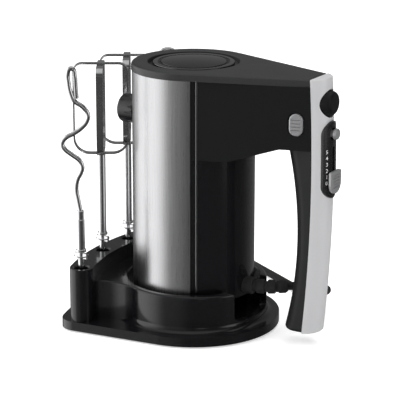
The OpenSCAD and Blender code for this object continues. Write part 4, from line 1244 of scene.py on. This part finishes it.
@dataclass
class Stand:
    """The storage stand's moulded shell. Sizes in millimetres."""

    foot_r: float = 64.0
    foot_turn: float = 83.5
    foot_h: float = 8.0
    rim_z: float = 1.2
    corner: tuple[float, float, float] = (-62.8, 57.5, 14.0)
    back: tuple[float, float] = (109.0, 195.2)
    ring_in: float = 49.4
    ring_out: float = 54.4
    ring_h: float = 35.8
    well_z: float = 9.0
    ledge_z: float = 27.9
    notch: tuple[float, float] = (23.6, 13.6)
    block_h: float = 48.0
    block_curve: float = 179.0
    block_half: float = 8.6
    hole_r: float = 5.3
    hole_z: float = 22.0
    hook: Point = (-59.1, 61.5)
    beater: Point = (-70.0, 17.5)

    def foot_plan(self, inset: float) -> list[Point]:
        """Gives the foot's outline, drawn in by inset."""
        x, y, r = self.corner
        cx, far = self.back
        turn = math.degrees(math.atan2(y, x - cx))
        start = self.foot_turn
        return (arc(0, 0, self.foot_r - inset, -start, start, 80) + arc(x, y, r - inset, start, turn, 16)
                + arc(cx, 0, far - inset, turn, 360 - turn, 48)
                + arc(x, -y, r - inset, 360 - turn, 360 - start, 16))

    def ring(self) -> BMesh:
        """Makes the solid that the ring round the mixer is cut from."""
        out, h = self.ring_out, self.ring_h
        return turned([(0, 7), (out + 5, 7), *arc(out + 5, self.foot_h + 5, 5, 270, 180, 8),
                       *arc(out - 2, h - 2, 2, 0, 90, 5), (0, h)], 192)

    def neck(self) -> BMesh:
        """Makes the hollow-sided neck between the ring and the block."""
        a, c, b = (-57, -53), (-40, -44), (-22, -49.8)
        low = [tuple((1 - t) ** 2 * p + 2 * t * (1 - t) * q + t * t * s for p, q, s in zip(a, c, b))
               for t in (k / 16 for k in range(17))]
        plan = [(-64, -52), *low, *[(x, -y) for x, y in reversed(low)], (-64, 52)]
        bm = prism(plan, 7, self.ring_h)
        return soften(bm, 1.4, lambda e: at_height(self.ring_h)(e) and abs(e.verts[0].co.x) < 57.5
                      and abs(e.verts[0].co.x - e.verts[1].co.x) > 0.01, 4)

    def block(self) -> BMesh:
        """Makes the curved block with round ends that holds the accessories."""
        cx = self.back[0]
        x, y = self.hook
        turn = math.degrees(math.atan2(y, x - cx))
        h = self.block_half
        plan = (arc(cx, 0, self.block_curve + h, turn, 360 - turn, 48)
                + arc(x, -y, h, 360 - turn, 540 - turn, 24)
                + arc(cx, 0, self.block_curve - h, 360 - turn, turn, 48)
                + arc(x, y, h, turn - 180, turn, 24))
        bm = prism(plan, 7, self.block_h)
        return soften(bm, 2.2, at_height(self.block_h), 5)

    def cutters(self) -> list[BMesh]:
        """Makes what is cut away: the well, the lead's notch, the four holes and the hollow underneath."""
        h = self.ring_h
        well = turned([(0, self.well_z), (self.ring_in, self.well_z), (self.ring_in, h - 0.8),
                       (self.ring_in + 0.9, h + 0.1), (self.ring_in + 0.9, h + 2), (0, h + 2)], 192)
        half, low = self.notch
        gap = prism([(-half - 3, h + 4), (-half - 3, h), *arc(-half - 3, h - 3, 3, 90, 0, 5),
                     *arc(5 - half, low + 5, 5, 180, 270, 6), *arc(half - 5, low + 5, 5, 270, 360, 6),
                     *arc(half + 3, h - 3, 3, 180, 90, 5), (half + 3, h + 4)], 40, 62, Along.X)
        holes = []
        for x, y in (self.hook, self.beater):
            for side in SIDES:
                hole = turned([(0, self.hole_z), (self.hole_r, self.hole_z), (self.hole_r, self.block_h - 1),
                               (self.hole_r + 1.1, self.block_h + 0.1), (self.hole_r + 1.1, self.block_h + 2),
                               (0, self.block_h + 2)], 64)
                holes.append(moved(hole, Matrix.Translation((x, side * y, 0))))
        under = prism(self.foot_plan(3), 0, self.foot_h - 2.5)
        return [well, gap, *holes, under]

    def build(self) -> None:
        """Makes the shell."""
        foot = prism(self.foot_plan(0), self.rim_z, self.foot_h)
        soften(foot, 3.2, at_height(self.foot_h), 5)
        shell = combine(foot, Join.ADD, self.ring(), self.neck(), self.block())
        shell = combine(shell, Join.CUT, *self.cutters())
        ledge = turned(wall(self.ring_in - 9, self.ring_in + 1, 8.5, self.ledge_z), 96, 40, 280)
        shell = combine(shell, Join.ADD, ledge)
        place(shell, "stand", STAND_BLACK, "stand", ["stand_shell"])


@dataclass
class Accessories:
    """The two beaters and the two dough hooks parked in the stand. Sizes in millimetres."""

    hole_z: float = 22.0
    ear_z: float = 57.0
    shank_r: float = 2.3
    tube_r: float = 3.0
    beater: Point = (-70.0, 17.5)
    hook: Point = (-59.1, 61.5)
    turn: float = 31.5
    loop_w: float = 41.0
    loop_z: Point = (123.0, 192.0)
    strip: Point = (5.0, 1.0)
    wire_r: float = 1.7
    path: tuple[Point, ...] = (
        (0, 91.5), (-1.5, 100), (-2.7, 108), (-1.6, 115), (0.9, 120), (1.9, 124.5), (0, 129), (-5, 133),
        (-10.4, 137.5), (-12.3, 141.5), (-10, 145.5), (-4, 149), (1.5, 153), (5.6, 158), (6.6, 163),
        (3.2, 168.5), (-2.8, 173),
    )
    left_end: tuple[Point, ...] = (
        (-5.6, 179), (-7.2, 188), (-7.4, 193), (-6, 196.4), (-3.8, 196.4), (-2.5, 192), (-2, 184),
        (-1.5, 175),
    )
    right_end: tuple[Point, ...] = (
        (-6.6, 177.5), (-8.4, 182.5), (-6.8, 187), (-2, 189.4), (2.8, 187.8), (4.3, 183.5), (3.6, 179),
        (2.9, 175.5),
    )

    def shaft(self, end: Sequence[Point]) -> BMesh:
        """Makes a shaft with its shank, ears and collar.

        Args:
            end: The profile's last points, above the collar.

        Returns:
            The shaft, about the Z axis.
        """
        s, t, z = self.shank_r, self.tube_r, self.ear_z
        low = self.hole_z
        bm = turned([(0, low), (s - 0.8, low), (s - 0.2, low + 0.8), (s, low + 1.6), (s, z + 3),
                     (t + 0.6, z + 3), (t + 0.8, z + 3.3), (t + 0.8, z + 4.7), (t + 0.5, z + 5), (t, z + 5),
                     *end], 48)
        ears = prism(rounded_box(11, 1.8, 0.6, 3), z - 2, z + 2)
        disc = turned([(0, z - 0.5), (5.1, z - 0.5), (5.3, z - 0.3), (5.3, z + 0.3), (5.1, z + 0.5),
                       (0, z + 0.5)], 48)
        return combine(bm, Join.ADD, ears, disc)

    def loop_plan(self, grow: float) -> list[Point]:
        """Gives a beater loop's outline, larger by grow."""
        w = self.loop_w / 2 + grow
        low, high = self.loop_z[0] - grow, self.loop_z[1] + grow
        r, s = 7 + grow, 12 + grow
        return (arc(w - r, high - r, r, 0, 90, 10) + arc(r - w, high - r, r, 90, 180, 10)
                + arc(s - w, low + s, s, 180, 270, 14) + arc(w - s, low + s, s, 270, 360, 14))

    def loops(self) -> BMesh:
        """Makes the two crossed strip loops of a beater."""
        half, t = self.strip[0] / 2, self.strip[1]
        made = []
        for k, grow in enumerate((0.0, -1.05)):
            band = prism(self.loop_plan(grow), -half, half, Along.Y)
            band = combine(band, Join.CUT, prism(self.loop_plan(grow - t), -9, 9, Along.Y))
            made.append(moved(band, Matrix.Rotation(math.radians(self.turn + 90 * k), 4, "Z")))
        return together(*made)

    def wire(self, end: Sequence[Point]) -> BMesh:
        """Makes a dough hook's bent wire with the given end."""
        curve = bar_curve("bend", [(x, 0, z) for x, z in (*self.path, *end)], self.wire_r, 6, 8)
        return moved(solid_of(curve), Matrix.Rotation(math.radians(self.turn), 4, "Z"))

    def build(self) -> None:
        """Makes the beaters and the hooks."""
        low, t = self.loop_z[0], self.tube_r
        for side in SIDES:
            name = side_name(side)
            hook_end = [(t, 84.4), (t - 0.4, 85), (2.6, 85), (2.6, 91), (2.2, 91.5), (0, 91.5)]
            for kind, piece, node, bm in (
                    ("beater", "stem", "shaft", self.shaft([(t, low), (0, low)])),
                    ("beater", "bands", "loops", self.loops()),
                    ("hook", "stem", "shaft", self.shaft(hook_end)),
                    ("hook", "bend", "wire", self.wire(self.left_end if side < 0 else self.right_end))):
                x, y = self.beater if kind == "beater" else self.hook
                place(moved(bm, Matrix.Translation((x, side * y, 0))), f"{kind}_{piece}_{name}", CHROME_WIRE,
                      f"{kind}_{name}", [f"{kind}_{node}_{name}"])


@dataclass(frozen=True)
class Inside:
    """The CAD pieces that stay as they are, each with its finish."""

    finishes: tuple[tuple[Finish, tuple[str, ...]], ...] = (
        (GREY_PLASTIC, ("end_cap", "brush_bracket", "turbo_switch", "cord_clamp", "stand_base")),
        (SHEET_STEEL, ("stator_core", "rotor_core")),
        (COPPER, ("field_coils", "rotor_windings", "commutator")),
        (BRASS, ("brush_holders",)),
        (CARBON, ("carbon_brushes",)),
        (ZINC, ("motor_bracket", "gear_frame", "eject_fork")),
        (BRONZE, ("shaft_bearings", "spindle_bushes")),
        (BOARD, ("speed_board",)),
        (STEEL, ("housing_screws", "stand_screws", "worm_shaft", "spindle_left", "spindle_right",
                 "eject_spring")),
        (GEAR_NYLON, ("cooling_fan", "drive_gear_left", "drive_gear_right")),
        (FOOT_RUBBER, ("stand_feet",)),
    )

    def build(self) -> None:
        """Dresses the pieces."""
        for finish, nodes in self.finishes:
            for node in nodes:
                dress_node(node, finish)
                LOG.info("%s keeps its CAD shape", node)


def main() -> None:
    """Builds every sub-assembly in order."""
    logging.basicConfig(level=logging.INFO, format="%(message)s")
    for part in (Studio(), Lead(), Casing(), Handle(), Controls(), Stand(), Accessories(), Inside()):
        LOG.info("%s:", type(part).__name__)
        part.build()


if __name__ == "__main__":
    main()
